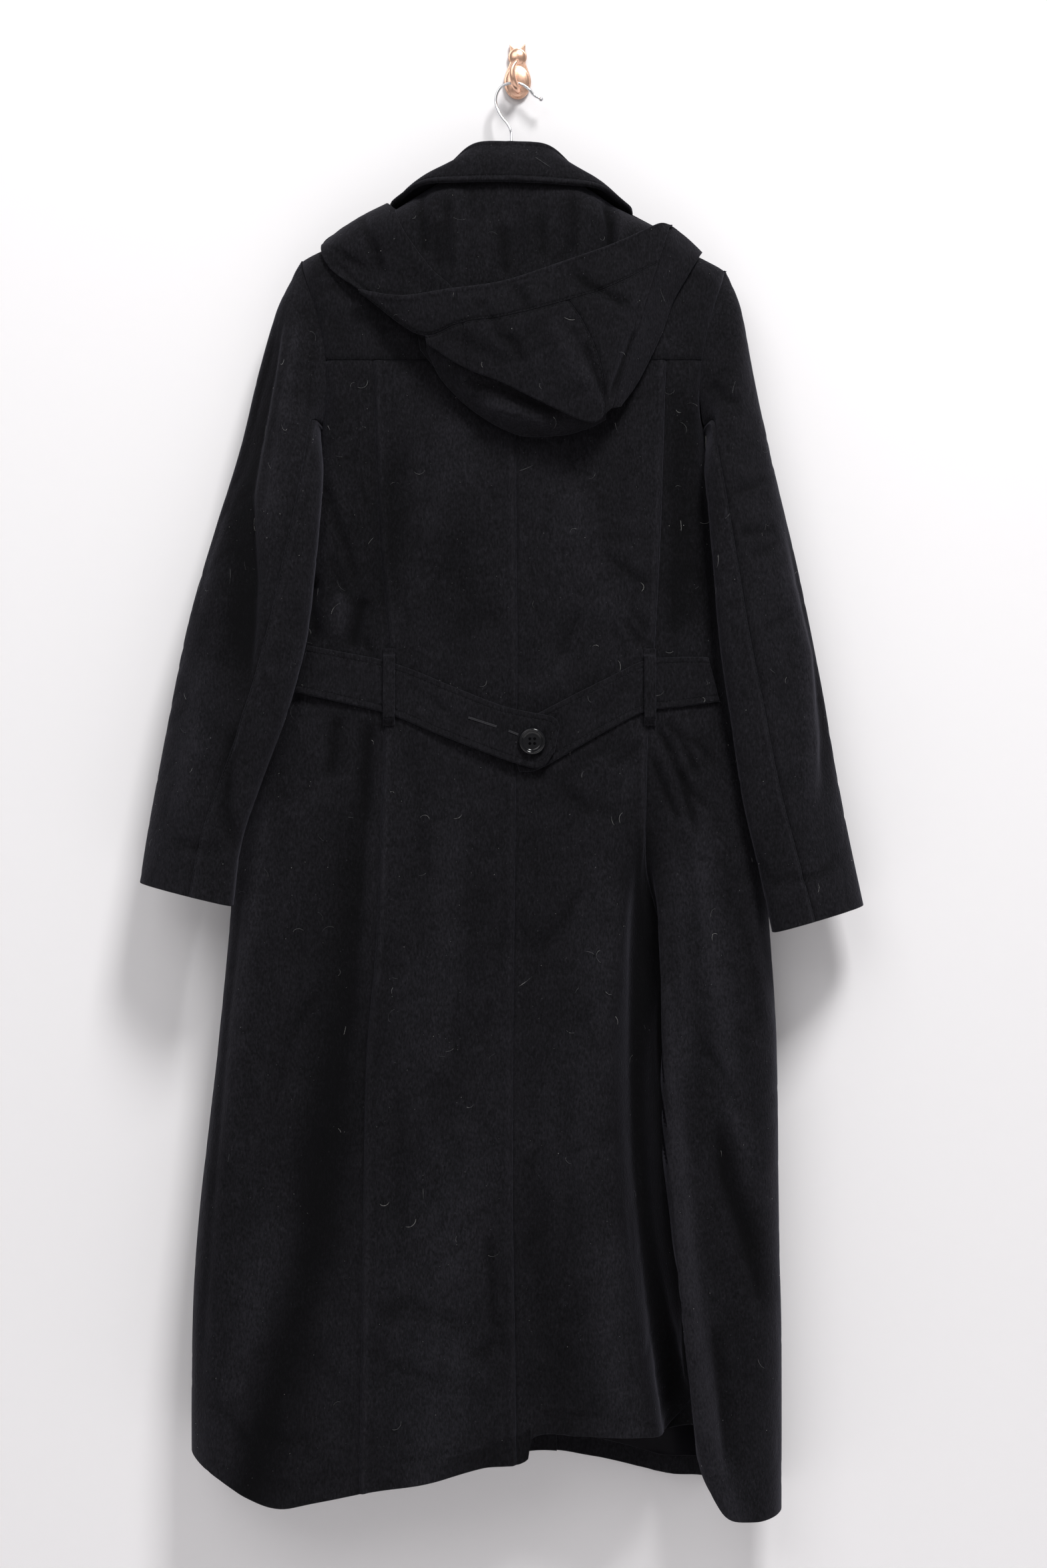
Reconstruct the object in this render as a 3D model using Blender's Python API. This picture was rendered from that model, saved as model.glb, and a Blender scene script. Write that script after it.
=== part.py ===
"""Long hooded wool coat on a hanger and a small wall hook, its back to the viewer.

The origin is the middle of the wall hook's back face. +Z is up, +X is to the viewer's right,
and -Y leads from the wall to the viewer. Sizes are millimetres, and meshes are made in metres.
The coat's body is one hollow tube, flattened against the wall: its panels are stretches of that
tube between two seams, and whatever lies on a panel is made from the panel's own points.
"""
import math
from collections import namedtuple

import bmesh
import bpy
from mathutils import Vector

MM = 0.001
CLOTH = 2.4              # thickness of one layer of wool cloth with its lining
COLLAR_CLOTH = 4.0       # two layers and an interlining
BELT_CLOTH = 3.0
HOOD_CLOTH = 2.0
LINING_CLOTH = 1.0
LINING_GAP = 0.7
HALF_SEAM = 0.15         # each of two pieces stops this short of their common seam
REST_GAP = 0.4           # between a piece and the piece that it lies on
ARMHOLE_EASE = 1.5       # the sleeve's flat facets need this much more at the curved armhole
UNDERARM_EASE = 4.4      # and the armhole ring is this much shorter at its top and bottom

BACK = 1                 # the face towards the viewer
FRONT = -1               # the face towards the wall

# The flattened tube at each height: its outer edges, and its two faces' distance from the wall.
Level = namedtuple("Level", "z left right back front")
BODY = [
    Level(-100, -208, 201, -58, -13),
    Level(-190, -208, 201, -58, -13),
    Level(-250, -197, 191, -59, -13),
    Level(-323, -188, 180, -60, -13),
    Level(-387, -190, 182, -60, -13),
    Level(-451, -198, 190, -60, -13),
    Level(-515, -204, 195, -60, -13),
    Level(-579, -213, 199, -61, -13),
    Level(-643, -233, 211, -64, -13),
    Level(-707, -256, 225, -68, -13),
    Level(-771, -270, 236, -72, -13),
    Level(-834, -275, 241, -76, -13),
    Level(-937, -285, 247, -81, -13),
    Level(-1116, -304, 249, -88, -13),
    Level(-1218, -309, 251, -92, -13),
    Level(-1400, -309, 251, -95, -13),
]
EDGE_ROUNDNESS = 0.9     # radius of the flattened tube's two edges, by its half depth
BACK_CROWN = 4.0         # the back stands a little proud between its sides, below the shoulders
CROWN_TOP_Z = -240
CROWN_RISE = 250

# The shoulder line runs from the neck down to each shoulder tip.
NECK_X = -6
NECK_HALF = 72
NECK_LEFT_Z = -129
NECK_RIGHT_Z = -131
TIP_LEFT = (-208, -190)
TIP_RIGHT = (201, -200)
SHOULDER_ROUND = 22      # height over which the cloth turns over the shoulder
SHOULDER_SLOPE = 1.15    # upright distance for each millimetre square to the shoulder line
BACK_NECK_DROP = 4
FRONT_NECK_DROP = 56

UNDERARM_Z = -355
ARMHOLE_OUT = 0.45       # how far out the armhole's line lies at half its height, from 0 to 1
YOKE_Z = -288
FRONT_EDGE_X = 12        # where the front's two edges meet
FRONT_LAP = 26           # each front reaches this far past that line
LAP_STEP = 3.2
LAP_SHARE = 0.24         # share of the right front's width that lies on the left front
LAP_RUN = (30, 24)       # the right front steps over the left one between these distances

# Seams that run down the back, from the yoke to the hem.
Seam = namedtuple("Seam", "z left centre right")
SEAMS = [
    Seam(-288, -137, -1, 141),
    Seam(-453, -131, -1, 136),
    Seam(-564, -122, 0, 130),
    Seam(-660, -127, -1, 123),
    Seam(-838, -133, -3, 123),
    Seam(-955, -143, -4, 125),
    Seam(-1093, -145, -4, 139),
    Seam(-1213, -146, -2, 146),
    Seam(-1380, -148, 0, 152),
]

# Height of the hem along the back and along the front.
Hem = namedtuple("Hem", "x back")
BACK_HEM = [
    Hem(-309, -1322),
    Hem(-280, -1340),
    Hem(-255, -1361),
    Hem(-224, -1369),
    Hem(-190, -1363),
    Hem(-140, -1353),
    Hem(-87, -1344),
    Hem(-32, -1330),
    Hem(10, -1323),
    Hem(14, -1302),
    Hem(56, -1301),
    Hem(140, -1302),
    Hem(162, -1309),
    Hem(178, -1346),
    Hem(193, -1372),
    Hem(222, -1381),
    Hem(252, -1378),
]
FrontHem = namedtuple("FrontHem", "x front")
FRONT_HEM = [
    FrontHem(-309, -1322),
    FrontHem(-260, -1345),
    FrontHem(-180, -1354),
    FrontHem(-90, -1355),
    FrontHem(-29, -1344),
    FrontHem(19, -1334),
    FrontHem(71, -1339),
    FrontHem(123, -1350),
    FrontHem(180, -1358),
    FrontHem(252, -1378),
]

# Large folds. Each line runs through three places; a valley goes in, and a ridge has a minus depth.
Fold = namedtuple("Fold", "face x_top x_middle x_low z_top z_low depth width")
FOLDS = [
    Fold(BACK, 141, 112, 158, -650, -1330, 30, 13),
    Fold(BACK, 128, 137, 192, -740, -1375, -13, 17),
    Fold(BACK, 100, 76, 104, -700, -1330, -6, 24),
    Fold(BACK, -131, -182, -258, -780, -1370, 11, 26),
    Fold(BACK, -160, -222, -290, -860, -1370, -5, 22),
    Fold(BACK, -40, -60, -78, -900, -1350, -5, 34),
    Fold(BACK, 24, 30, 44, -1000, -1320, 5, 30),
    Fold(FRONT, -120, -150, -190, -700, -1350, 13, 22),
    Fold(FRONT, -60, -70, -80, -820, -1350, -3, 26),
    Fold(FRONT, 110, 128, 150, -640, -1350, 12, 20),
    Fold(FRONT, 176, 196, 206, -900, -1370, -3, 18),
]

# Sleeves: each row is one cross-section, from its outer to its inner edge.
Cut = namedtuple("Cut", "x_out z_out x_in z_in y_out y_in half_depth")
SLEEVE_LEFT = [
    Cut(-226, -237, -190, -360, -37, -43, 24),
    Cut(-244, -301, -184, -392, -41, -64, 24),
    Cut(-266, -377, -186, -436, -46, -74, 24),
    Cut(-289, -453, -191, -491, -50, -77, 24),
    Cut(-311, -529, -198, -552, -53, -78, 24),
    Cut(-327, -605, -214, -617, -55, -82, 24),
    Cut(-341, -681, -242, -695, -56, -85, 24),
    Cut(-350, -732, -259, -748, -57, -87, 24),
    Cut(-358, -784, -266, -805, -57, -88, 26),
]
SLEEVE_RIGHT = [
    Cut(212, -237, 183, -360, -37, -43, 24),
    Cut(226, -301, 177, -392, -38, -63, 24),
    Cut(242, -376, 180, -430, -39, -71, 24),
    Cut(260, -452, 185, -490, -40, -73, 24),
    Cut(277, -528, 191, -560, -41, -75, 24),
    Cut(292, -605, 201, -630, -42, -74, 24),
    Cut(305, -681, 211, -700, -43, -77, 24),
    Cut(317, -745, 225, -764, -44, -80, 24),
    Cut(330, -806, 239, -830, -45, -82, 26),
]
BACK_SEAM_TURN = (125, 94)       # place of the sleeve's back seam, in degrees, at armhole and cuff
FRONT_SEAM_TURN = 235
SLEEVE_SEAM_GAP = 0.3            # in degrees
SLEEVE_ROUNDNESS = 0.86          # 1 is an ellipse, and less is squarer

# Collar: half of it, from the back's middle to its front end. Across is measured from NECK_X.
Turn = namedtuple("Turn", "fold_across fold_y fold_z edge_across edge_y edge_z bulge")
COLLAR = [
    Turn(0, -55, -79, 0, -70, -121, 3),
    Turn(32, -54, -81, 42, -69, -122, 3),
    Turn(52, -48, -95, 85, -64, -124, 4),
    Turn(64, -39, -108, 110, -49, -136, 5),
    Turn(67, -30, -117, 117, -34, -141, 4),
    Turn(66, -21, -129, 113, -11, -153, 4),
    Turn(63, -7.8, -144, 102, -5.2, -176, 0.5),
    Turn(57, -4.8, -162, 86, -5, -199, 0),
]
COLLAR_TILT = 0.022
FOLD_RADIUS = 5.0
COLLAR_BEND = 0.2        # share of the collar's outer face that is its rounded fold
COLLAR_LIFT = 0.6        # the bulge rises this much for each millimetre that it stands out
FALL_START = 0.012       # the fall's first row, just past the crest, where its face turns outward
STAND_REACH = 2.9        # station at which the back's stand ends
STAND_HALF = 62
STAND_DROP = 2.0         # between the stand's top and the fold's underside
STAND_INSET = 2.6        # the stand's foot lies inside the neckline by this much
NECK_SEAM = 0.9

# Hood: each row is a station; two ends of a run, how far off the back they are, and its bulge.
Drape = namedtuple("Drape", "x_top z_top off_top x_low z_low off_low bulge")
HOOD_NECK = [
    Drape(-118, -143, 5, -92, -280, 8, 2),
    Drape(-73, -119, 10, -70, -306, 8, 4),
    Drape(-40, -117, 5, -42, -334, 8, 6),
    Drape(-6, -116, 5, -2, -356, 8, 6),
    Drape(27, -117, 5, 30, -359, 8, 6),
    Drape(58, -119.5, 10, 60, -354, 8, 6),
    Drape(95, -142.5, 6, 82, -342, 8, 5),
    Drape(136, -150, 9, 110, -262, 9, 2),
]
HOOD_SIDE_LEFT = [
    Drape(-124, -136, 14, -117, -146, 17, 0),
    Drape(-148, -145, 13, -108, -167, 19, 1),
    Drape(-169, -159, 11, -94, -188, 19, 1),
    Drape(-187, -174, 5.5, -79, -207, 19, 1),
    Drape(-179, -200, 3.2, -64, -220, 19, 1),
    Drape(-148, -224, 9, -50, -236, 19, 1),
    Drape(-124, -244, 12, -48, -250, 19, 1),
]
HOOD_CROWN = [
    Drape(-151, -223, 12.4, -149, -227, 12, 0),
    Drape(-109, -231, 25, -100, -266, 22, 1),
    Drape(-63, -226, 34, -54, -298, 29, 3),
    Drape(-14, -220, 39, -14, -315, 34, 5),
    Drape(42, -202, 40, 26, -335, 35, 7),
    Drape(97, -181, 34, 69, -352, 32, 7),
    Drape(147, -161, 24, 89, -338, 26, 5),
]
BAND_SHARE = [1.0, 0.97, 0.48, 0.36, 0.30, 0.25, 0.25]
CROWN_START = (1.3, 1.3)         # station of each edge or panel seam, at the band and at the fold
CROWN_SEAM_LEFT = (2.15, 2.15)
CROWN_SEAM_RIGHT = (4.2, 5.6)
GATHER_DEPTH = 2.4               # of the upright folds in the hood's inner layer
HOOD_SEAM = 0.004                # half the gap at the hood's seams, as a share of a panel
CROWN_TUCK = 3.0                 # the right side starts this far behind the crown's edge
Edge = namedtuple("Edge", "x z off")
HOOD_SIDE_RIGHT = [
    Edge(177, -183, 5.4),
    Edge(162, -209, 4),
    Edge(148, -234, 3.4),
    Edge(136, -267, 4),
    Edge(115, -310, 8),
    Edge(98, -335, 16),
]
HOOD_POUCH = [
    Drape(-86, -262, 12, -86, -281, 10.6, 1),
    Drape(-66, -276, 20, -72, -309, 10.6, 4),
    Drape(-38, -290, 24, -43, -338, 10.6, 6),
    Drape(-4, -304, 27, -2, -361, 10.6, 8),
    Drape(30, -318, 28, 30, -363, 10.6, 8),
    Drape(60, -330, 26, 61, -358, 10.6, 6),
    Drape(84, -335, 20, 84, -347, 10.6, 2),
]

# The belt: each row is a station along it, with its upper and its lower edge.
Strip = namedtuple("Strip", "x_top z_top x_low z_low lift")
BELT_LEFT = [
    Strip(-199, -559, -211, -603, 3.0),
    Strip(-162, -566, -172, -612, 1.2),
    Strip(-127, -573, -129, -622, 0),
    Strip(-97, -583, -106, -630, 0),
    Strip(-66, -596, -83, -640, 1),
    Strip(-18, -615, -42, -656, 4),
    Strip(10, -622, -4, -670, 5),
    Strip(34, -627, 22, -675, 5),
    Strip(40, -636, 35, -660, 5),
]
BELT_RIGHT = [
    Strip(-10, -636, 2, -679, 0),
    Strip(16, -625, 21, -676, 0),
    Strip(49, -608, 60, -654, 0),
    Strip(85, -590, 90, -637, 0),
    Strip(121, -573, 121, -622, 0),
    Strip(150, -570, 156, -617, 0),
    Strip(181, -570, 192, -612, 1.2),
]
LOOP_LEFT_X = -121.5
LOOP_RIGHT_X = 125.5
LOOP_TOP_Z = -562
LOOP_LOW_Z = -635
LOOP_WIDTH = 11
LOOP_CLOTH = 2.0

BUTTON_RADIUS = 13
BUTTON_THICK = 4
BUTTON_HOLE_RADIUS = 1.3
BUTTON_HOLE_REACH = 3.4
BUTTON_SHANK = 1.3       # thread between the belt and its button
BUTTON_ROUGHNESS = 0.2
BELT_BUTTON = (14, -650)
FRONT_BUTTON_Z = (-235, -360, -485, -610)

# Hanger and wall hook.
BAR_RADIUS = 5
BAR_Y = -35.5
BAR_CREST_Z = -113
BAR_LEFT_X = (-192, -170, -140, -110, -88)
BAR_RIGHT_X = (78, 104, 132, 162, 184)
WIRE_RADIUS = 1.4
WIRE_BALL = [
    (24.1, -15, -29.7, 0.8), (23.1, -15, -29.1, 2.0), (21.8, -15, -28.3, 2.1),
]
WIRE_ROUTE = [
    (20.5, -15, -27.5), (16.0, -15, -25.0), (11.6, -15, -19.8), (5.8, -15, -15.4), (1.0, -15, -13.7),
    (-4.0, -15, -13.2), (-9.5, -15, -13.9), (-15.5, -15, -16.8), (-19.6, -15.5, -22.9),
    (-21.2, -16.5, -31.0), (-19.3, -18, -39.5), (-15.3, -20, -47.2), (-10.3, -22, -53.8),
    (-7.0, -24, -60.5), (-5.9, -27, -69.0), (-6.0, -31, -88.0),
]
PLATE_THICK = 4
PLATE_STEPS = 16
NECK_ANGLE = 62          # half the part of the body's ellipse that the head takes up, in degrees
HEAD_CENTRE_Z = 15.5
HEAD_RADIUS = 9
HEAD_ANGLES = (-35, -10, 15, 35)
EAR_TIP = (7.7, 28.5)
EAR_ROOT = (2.9, 23.9)
BODY_CENTRE_Z = -8.5
BODY_HALF_WIDTH = 13
BODY_HALF_HEIGHT = 17
# The prong is the cat's tail: from the plate's foot out under the wire, and up before it.
Prong = namedtuple("Prong", "x y z radius")
PRONG_ROUTE = [
    Prong(0.5, -3.0, -16.8, 2.6),
    Prong(0.2, -8.0, -18.7, 2.9),
    Prong(-0.2, -12.5, -19.0, 3.1),
    Prong(-1.6, -17.6, -17.6, 3.3),
    Prong(-3.6, -20.6, -13.0, 3.3),
    Prong(-5.0, -21.6, -7.0, 3.1),
    Prong(-4.6, -21.6, 0.0, 2.6),
    Prong(-1.8, -20.0, 5.0, 2.0),
    Prong(0.4, -18.2, 8.2, 1.5),
]

WOOL = (0.026, 0.026, 0.031)
WOOL_ROUGHNESS = 0.95
LINING_COLOUR = (0.02, 0.02, 0.024)
BUTTON_COLOUR = (0.012, 0.012, 0.014)
BAR_COLOUR = (0.02, 0.02, 0.022)
WIRE_COLOUR = (0.6, 0.6, 0.62)
COPPER = (0.42, 0.19, 0.11)
COPPER_ROUGHNESS = 0.32


def smooth(places, values, at):
    """Cubic curve through the values, level beyond both ends."""
    if at <= places[0]:
        return values[0]
    if at >= places[-1]:
        return values[-1]
    i = 0
    while places[i + 1] < at:
        i += 1
    span = places[i + 1] - places[i]
    share = (at - places[i]) / span
    before = max(i - 1, 0)
    after = min(i + 2, len(places) - 1)
    slope_a = (values[i + 1] - values[before]) / (places[i + 1] - places[before]) * span
    slope_b = (values[after] - values[i]) / (places[after] - places[i]) * span
    cube = share ** 3
    square = share ** 2
    return (values[i] * (2 * cube - 3 * square + 1) + slope_a * (cube - 2 * square + share)
            + values[i + 1] * (3 * square - 2 * cube) + slope_b * (cube - square))


def read(table, along, wanted, at):
    """A column of a table, read between its rows. The rows may run up or down."""
    rows = sorted(table, key=lambda row: getattr(row, along))
    places = [getattr(row, along) for row in rows]
    values = [getattr(row, wanted) for row in rows]
    return smooth(places, values, at)


def by_station(table, wanted, station):
    """A column of a table whose rows are numbered stations."""
    values = [getattr(row, wanted) for row in table]
    return smooth(list(range(len(values))), values, station)


def mix(a, b, share):
    return a + (b - a) * share


def ease(share):
    share = min(max(share, 0.0), 1.0)
    return share * share * (3 - 2 * share)


def even(count, low=0.0, high=1.0):
    """Evenly spaced shares, count steps."""
    return [mix(low, high, i / count) for i in range(count + 1)]


def crowded(count, power, at_end=False):
    """Shares that lie closer together at one end."""
    if at_end:
        return [1 - (1 - i / count) ** power for i in range(count + 1)]
    return [(i / count) ** power for i in range(count + 1)]


def shoulder_z(x):
    """Height of the shoulder line, carried on over the neck."""
    neck_left = NECK_X - NECK_HALF
    neck_right = NECK_X + NECK_HALF
    left = mix(NECK_LEFT_Z, TIP_LEFT[1], (neck_left - x) / (neck_left - TIP_LEFT[0]))
    right = mix(NECK_RIGHT_Z, TIP_RIGHT[1], (x - neck_right) / (TIP_RIGHT[0] - neck_right))
    return min(left, right)


def top_edge_z(face, x):
    """Upper edge of the body's panels: the shoulder line, and the neckline between its ends."""
    across = abs(x - NECK_X) / NECK_HALF
    if across >= 1:
        return shoulder_z(x)
    drop = BACK_NECK_DROP if face == BACK else FRONT_NECK_DROP
    neck_side = mix(NECK_LEFT_Z, NECK_RIGHT_Z, (x - NECK_X + NECK_HALF) / (2 * NECK_HALF))
    return neck_side - drop * math.sqrt(1 - across * across)


def level(z):
    """Middle, flat half width, edge radius, middle depth and half depth of the tube at a height."""
    left = read(BODY, "z", "left", z)
    right = read(BODY, "z", "right", z)
    back = read(BODY, "z", "back", z)
    front = read(BODY, "z", "front", z)
    half_depth = (front - back) / 2
    radius = half_depth * EDGE_ROUNDNESS
    return (left + right) / 2, (right - left) / 2 - radius, radius, (back + front) / 2, half_depth


def fold_depth(face, x, z):
    """How far the large folds draw the cloth in at a place."""
    total = 0.0
    for fold in FOLDS:
        if fold.face != face or z > fold.z_top:
            continue
        run = min((fold.z_top - z) / (fold.z_top - fold.z_low), 1.1)
        line = (fold.x_top * (1 - run) * (1 - 2 * run) + 4 * fold.x_middle * run * (1 - run)
                - fold.x_low * run * (1 - 2 * run))
        total += fold.depth * ease(run / 0.5) * math.exp(-((x - line) / fold.width) ** 2)
    return total


def shoulder_share(x, z, off):
    """Share of its full depth that the cloth has just below the shoulder line."""
    height = SHOULDER_ROUND + off
    below = shoulder_z(x) + SHOULDER_SLOPE * off - z
    if below >= height:
        return 1.0
    if below <= 0:
        return 0.0
    return math.sqrt(1 - (1 - below / height) ** 2)


def depth_at(face, x, z, turn_cos, off, frame):
    """Distance from the wall of a point on the tube, or off it."""
    middle, flat, _, middle_y, half_depth = frame
    across = min(abs(x - middle) / flat, 1.0)
    crown = BACK_CROWN * math.cos(across * math.pi / 2) ** 2 * ease((CROWN_TOP_Z - z) / CROWN_RISE)
    if face == FRONT:
        crown = 0.0
    swell = half_depth + off + crown - fold_depth(face, x, z)
    return middle_y - face * swell * turn_cos * shoulder_share(x, z, off)


def body_point(face, along, z, off=0.0):
    """Point of the tube. Along is measured round the tube from its middle line."""
    frame = level(z)
    middle, flat, radius = frame[:3]
    side = 1 if along >= 0 else -1
    turn = max(abs(along) - flat, 0.0) / radius
    x = middle + side * (min(abs(along), flat) + (radius + off) * math.sin(turn))
    return Vector((x, depth_at(face, x, z, math.cos(turn), off, frame), z))


def body_normal(face, along, z, off=0.0):
    """Outward direction of the tube at a point."""
    step = 0.7
    across = body_point(face, along + step, z, off) - body_point(face, along - step, z, off)
    down = body_point(face, along, z - step, off) - body_point(face, along, z + step, off)
    return (down.cross(across) * face).normalized()


def on_back(x, z, off):
    """Point that lies a given distance off the back, straight in front of a place on it."""
    frame = level(z)
    middle, flat, radius = frame[:3]
    sine = min(max(abs(x - middle) - flat, 0.0) / (radius + off), 1.0)
    return Vector((x, depth_at(BACK, x, z, math.sqrt(1 - sine * sine), off, frame), z))


def side_reach(z, side):
    """Length round the tube from its middle to the armhole, or to the side seam below it."""
    _, flat, radius = level(z)[:3]
    tip_z = TIP_LEFT[1] if side < 0 else TIP_RIGHT[1]
    turn = math.pi / 2
    if z > UNDERARM_Z:
        share = (z - (tip_z + UNDERARM_Z) / 2) / ((tip_z - UNDERARM_Z) / 2)
        turn = math.asin(math.sqrt(min(ARMHOLE_OUT + (1 - ARMHOLE_OUT) * share * share, 1.0)))
    return flat + radius * turn


def cloth_material(name, colour, roughness, metallic=0.0):
    material = bpy.data.materials.new(name)
    material.use_nodes = True
    shader = material.node_tree.nodes["Principled BSDF"]
    shader.inputs["Base Color"].default_value = (*colour, 1)
    shader.inputs["Roughness"].default_value = roughness
    shader.inputs["Metallic"].default_value = metallic
    return material


def add_object(name, points, faces, colour, roughness=WOOL_ROUGHNESS, metallic=0.0, crease=40):
    """One closed solid with its own material, smooth but for its sharp edges."""
    mesh = bpy.data.meshes.new(name)
    mesh.from_pydata([Vector(point) * MM for point in points], [], faces)
    form = bmesh.new()
    form.from_mesh(mesh)
    bmesh.ops.recalc_face_normals(form, faces=form.faces)
    bmesh.ops.triangulate(form, faces=form.faces)
    form.to_mesh(mesh)
    form.free()
    mesh.shade_smooth()
    mesh.set_sharp_from_angle(angle=math.radians(crease))
    solid = bpy.data.objects.new(name, mesh)
    bpy.context.collection.objects.link(solid)
    solid.data.materials.append(cloth_material(name, colour, roughness, metallic))
    return solid


def wall(name, place, columns, rows, thick=CLOTH, colour=WOOL):
    """Cloth wall between its outer points, which place gives with their normals, and inner ones."""
    outer = []
    inner = []
    for t in rows:
        for s in columns:
            point, normal = place(s, t)
            outer.append(point)
            inner.append(point - normal * thick)
    wide = len(columns)
    high = len(rows)
    count = wide * high
    faces = []
    for j in range(high - 1):
        for i in range(wide - 1):
            corner = j * wide + i
            ring = (corner, corner + 1, corner + wide + 1, corner + wide)
            faces.append(ring)
            faces.append(tuple(count + k for k in reversed(ring)))
    rim = [i for i in range(wide)]
    rim += [j * wide + wide - 1 for j in range(1, high)]
    rim += [(high - 1) * wide + i for i in range(wide - 2, -1, -1)]
    rim += [j * wide for j in range(high - 2, 0, -1)]
    for k, a in enumerate(rim):
        b = rim[(k + 1) % len(rim)]
        faces.append((b, a, count + a, count + b))
    return add_object(name, outer + inner, faces, colour)


def with_normal(surface, step=0.01):
    """Adds each point's outward direction to a surface whose s runs right and t runs down."""
    def place(s, t):
        across = surface(s + step, t) - surface(s - step, t)
        down = surface(s, t + step) - surface(s, t - step)
        return surface(s, t), down.cross(across).normalized()
    return place


Panel = namedtuple("Panel", "name face left right top low columns rows step")


def level_middle(z):
    return level(z)[0]


def left_side(z):
    return -side_reach(z, -1)


def right_side(z):
    return side_reach(z, 1)


def seam_left(z):
    return read(SEAMS, "z", "left", z) - level_middle(z)


def seam_centre(z):
    return read(SEAMS, "z", "centre", z) - level_middle(z)


def seam_right(z):
    return read(SEAMS, "z", "right", z) - level_middle(z)


def lap_left(z):
    return FRONT_EDGE_X + FRONT_LAP - level_middle(z)


def lap_right(z):
    return FRONT_EDGE_X - FRONT_LAP - level_middle(z)


def yoke_z(x):
    return YOKE_Z


def back_top(x):
    return top_edge_z(BACK, x)


def front_top(x):
    return top_edge_z(FRONT, x)


def back_hem(x):
    return read(BACK_HEM, "x", "back", x)


def front_hem(x):
    return read(FRONT_HEM, "x", "front", x)


def no_step(x):
    return 0.0


def lap_step(x):
    """The right front lies on the left one, nearer to the wall."""
    return LAP_STEP * ease((FRONT_EDGE_X + FRONT_LAP + LAP_RUN[0] - x) / LAP_RUN[1])


YOKE_ROWS = [0.0, 0.03, 0.10, 0.20, 0.36, 0.52, 0.68, 0.84, 1.0]
LOWEST_ROWS = [0.94, 0.975, 1.0]
BACK_ROWS = [0.0, 0.016, 0.032, 0.046, 0.056, 0.063] + even(15, 0.10, 0.89) + LOWEST_ROWS
ARMHOLE_ROWS = [0.0, 0.004, 0.012, 0.024, 0.045, 0.065, 0.085, 0.105, 0.122, 0.134, 0.143]
FRONT_ROWS = ARMHOLE_ROWS + even(13, 0.19, 0.89) + LOWEST_ROWS
PANELS = [
    Panel("back_yoke", BACK, left_side, right_side, back_top, yoke_z, even(20), YOKE_ROWS, no_step),
    Panel("side_back_left", BACK, left_side, seam_left, yoke_z, back_hem, even(9), BACK_ROWS, no_step),
    Panel("back_left", BACK, seam_left, seam_centre, yoke_z, back_hem, even(6), BACK_ROWS, no_step),
    Panel("back_right", BACK, seam_centre, seam_right, yoke_z, back_hem, crowded(11, 1.4, True),
          BACK_ROWS, no_step),
    Panel("side_back_right", BACK, seam_right, right_side, yoke_z, back_hem, crowded(9, 1.15),
          BACK_ROWS, no_step),
    Panel("front_left", FRONT, left_side, lap_left, front_top, front_hem, even(12), FRONT_ROWS, no_step),
    Panel("front_right", FRONT, lap_right, right_side, front_top, front_hem, even(12), FRONT_ROWS,
          lap_step),
]


def panel_place(piece, top, low, inside=0.0):
    """Point and outward direction on a panel, or inside it, between two heights given by x."""
    def place(s, t):
        z = mix(top(0), low(0), t)
        for _ in range(5):
            along = mix(piece.left(z) + HALF_SEAM, piece.right(z) - HALF_SEAM, s)
            x = body_point(piece.face, along, z).x
            z = mix(top(x) - HALF_SEAM, low(x) + HALF_SEAM, t)
        along = mix(piece.left(z) + HALF_SEAM, piece.right(z) - HALF_SEAM, s)
        step = piece.step(x)
        normal = body_normal(piece.face, along, z, step)
        if t == 0 and shoulder_share(x, z, step) < 0.3:
            normal = Vector((normal.x, 0, normal.z)).normalized()
        return body_point(piece.face, along, z, step) - normal * inside, normal
    return place


def build_panels():
    for piece in PANELS:
        wall(piece.name, panel_place(piece, piece.top, piece.low), piece.columns, piece.rows)


def build_lining():
    """The lining's lower stretch, just inside each panel."""
    for piece in PANELS[1:]:
        rows = [t for t in piece.rows if 0.85 < t < 1]
        first = LAP_SHARE if piece.name == "front_right" else 0.0
        columns = [s for s in piece.columns if s >= first]
        place = panel_place(piece, piece.top, piece.low, CLOTH + LINING_GAP)
        wall("lining_" + piece.name, place, columns, rows, LINING_CLOTH, LINING_COLOUR)


def armhole_ring(side, turn):
    """Point on the armhole and the body's outward direction there."""
    tip_z = TIP_LEFT[1] if side < 0 else TIP_RIGHT[1]
    middle_z = (tip_z + UNDERARM_Z) / 2
    half = (tip_z - UNDERARM_Z) / 2 - UNDERARM_EASE
    z = middle_z + half * math.cos(turn)
    face = BACK if math.sin(turn) >= 0 else FRONT
    along = side * (side_reach(z, side) + HALF_SEAM + ARMHOLE_EASE)
    return body_point(face, along, z), body_normal(face, along, z)


def sleeve_section(cut, turn):
    """Point on one of a sleeve's rounded cross-sections."""
    outer = Vector((cut.x_out, cut.y_out, cut.z_out))
    inner = Vector((cut.x_in, cut.y_in, cut.z_in))
    middle = (outer + inner) / 2
    reach = (outer - inner) / 2
    cosine = math.cos(turn)
    sine = math.sin(turn)
    wide = math.copysign(abs(cosine) ** SLEEVE_ROUNDNESS, cosine)
    deep = math.copysign(abs(sine) ** SLEEVE_ROUNDNESS, sine)
    return middle + reach * wide + Vector((0, -cut.half_depth * deep, 0))


def sleeve_point(side, turn, share):
    """Point of a sleeve: share runs from the armhole, 0, to the cuff, 1."""
    cuts = SLEEVE_LEFT if side < 0 else SLEEVE_RIGHT
    places = [armhole_ring(side, turn)[0]] + [sleeve_section(cut, turn) for cut in cuts]
    station = share * (len(places) - 1)
    stations = list(range(len(places)))
    return Vector([smooth(stations, [place[k] for place in places], station) for k in range(3)])


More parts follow.
